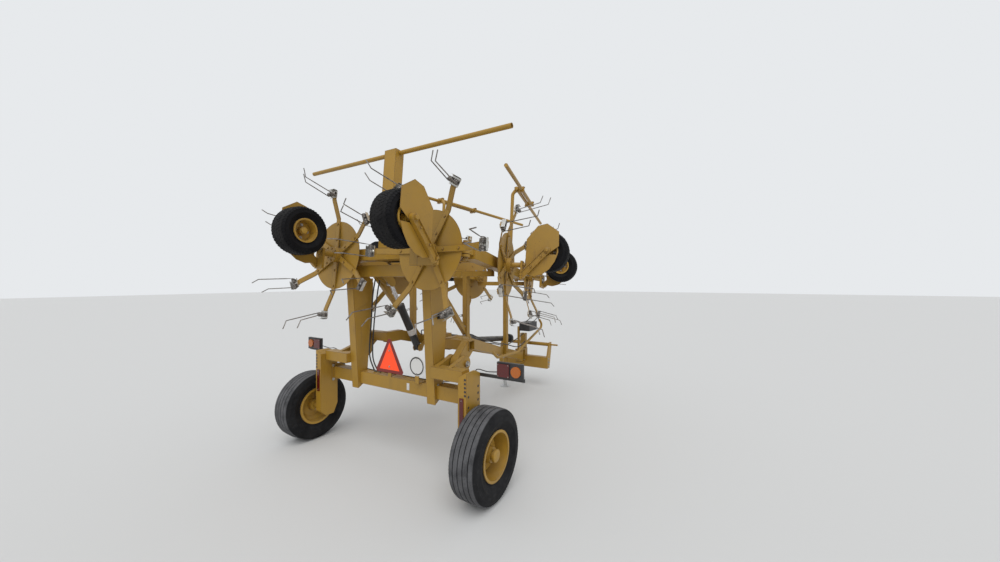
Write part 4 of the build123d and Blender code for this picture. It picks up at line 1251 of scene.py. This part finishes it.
def addPostClamp():
    # parking socket for a hose end, strapped to the right post
    thick, boreX = 0.004, 0.030
    strap = boxBetween((0, -0.045, -0.030), (thick, 0.045, 0.030), 0.001)
    socket = plainRound(0.024, (boreX, -0.050, 0), (boreX, 0.035, 0), 28)
    selectFaces(socket, lambda face: abs(face.normal.y) > 0.9)
    bpy.ops.mesh.inset(thickness=0.007)
    leaveEdit()
    bore = Vector((boreX, -0.050, 0))
    selectFaces(socket, lambda face: face.normal.y < -0.9 and (face.center - bore).length < 0.004)
    pushOut(0, 0.030, 0)
    leaveEdit()
    foot = boxBetween((0.002, -0.030, -0.012), (0.012, 0.020, 0.012), 0.001)
    bolts = grid([thick], [-0.038, 0.038], [-0.020, 0.020], (1, 0, 0), 0.7)
    clamp = joined([strap, socket, foot] + scattered(boltMaster, bolts, Matrix()))
    clamp.data.transform(rowPlace @ moved(0.590, 0.150, 1.487))
    dressed(clamp, blackPlastic, "post_clamp", "rear_frame")


def addDoublers():
    # stiffening plates welded on the posts' inner faces, with a raking lower edge
    outline = [(0.026, 1.500), (0.246, 1.605), (0.268, 1.850), (0.008, 1.850)]
    plates = []
    for side in (-1, 1):
        plate = cutPlate(outline, 0.005)
        plate.data.transform(rowPlace @ moved(side * 0.4878))
        plates.append(plate)
    whole = joined(plates)
    dressed(whole, yellowPaint, "post_doublers", "rear_frame")


# blank decals

decalTable = [  # name, body, work side or None for the row, centre, facing, width, height
    ("post_decal", "rear_frame", None, (0.545, 0.115, 1.30), (0, -0.999, -0.05), 0.05, 0.075),
    ("beam_decal", "rear_frame", None, (0.22, 0.0985, 0.765), (0, -1, 0), 0.035, 0.07),
    ("arm_decal", "wing_right", 1, (2.1, 0.062, 0.12), (0, 1, 0), 0.14, 0.05),
    ("left_beam_decal", "wing_left", -1, (-2.1, 0.062, 0.12), (0, 1, 0), 0.14, 0.05),
]


def addBarrelLabel():
    foot = Vector((-0.30, 0.80, 1.00))
    run = (Vector((-0.30, 0.354, 1.80)) - foot).normalized()
    # band round the barrel, from 0.20 to 0.28 m along it
    label = plainRound(0.0456, rowPlace @ (foot + run * 0.20), rowPlace @ (foot + run * 0.28), 36)
    dressed(label, decalSheet, "barrel_label", "lift_barrel")


def addDecals():
    for name, body, side, centre, way, width, height in decalTable:
        decal = block((width, height, 0.0012))
        bevelEdges(decal, 0.0004, 1)
        selectFaces(decal, facesUp)
        bpy.ops.mesh.inset(thickness=0.003)
        leaveEdit()
        place = rowPlace if side is None else hostPlace(side)
        piece = copyTo(decal, place @ Matrix.Translation(centre) @ facing(way))
        discard(decal)
        dressed(piece, decalSheet, name, body)


print("modelling pieces")
addCarriers()
print("wheel carriers made")
addTines()
print("tines made")
addTurfTreads()
addRoadTreads()
print("treads made")
addHubCaps()
addCovers()
addShaftTrim()
addHoses()
addPostClamp()
addDoublers()
addDecals()
addBarrelLabel()
print("trim made")
addBolts()
print("bolts made")


# floor, light and camera

def makeStage():
    bpy.ops.mesh.primitive_plane_add(size=120, location=(0, 0, 0))
    floor = bpy.context.object
    floor.name = "studioFloor"
    material, tree, shader = newMaterial("paleFloor", 0.9)
    put(shader, "Base Color", (0.60, 0.60, 0.59, 1))
    coloured(floor, material)
    world = bpy.data.worlds.new("studioWorld")
    bpy.context.scene.world = world
    world.use_nodes = True
    tree = world.node_tree
    tree.nodes.clear()
    path = add(tree, "LightPath")
    seen = add(tree, "Background")
    put(seen, "Color", (0.80, 0.82, 0.84, 1))
    light = add(tree, "Background")
    put(light, "Color", (0.95, 0.97, 1.0, 1))
    put(light, "Strength", 0.72)
    mix = add(tree, "MixShader")
    end = add(tree, "OutputWorld")
    wire(tree, path.outputs["Is Camera Ray"], mix.inputs["Fac"])
    wire(tree, light.outputs[0], mix.inputs[1])
    wire(tree, seen.outputs[0], mix.inputs[2])
    wire(tree, mix.outputs[0], end.inputs["Surface"])
    bpy.ops.object.light_add(type="SUN", location=(0, 0, 8), rotation=(math.radians(28), math.radians(18), 0))
    sun = bpy.context.object
    sun.name = "softSky"
    sun.data.energy = 1.5
    sun.data.angle = math.radians(50)


def makeCamera():
    look = {"place": (2.794, -3.925, 1.821), "yaw": 29.97, "lens": 12.82}
    camera = bpy.data.cameras.new("photoCamera")
    camera.sensor_width = 36
    camera.lens = look["lens"]
    eye = bpy.data.objects.new("photoCamera", camera)
    bpy.context.scene.collection.objects.link(eye)
    eye.location = look["place"]
    eye.rotation_euler = (math.radians(90), 0, math.radians(look["yaw"]))
    bpy.context.scene.camera = eye


makeStage()
makeCamera()
bpy.context.scene.view_settings.view_transform = "Standard"
print("stage set")
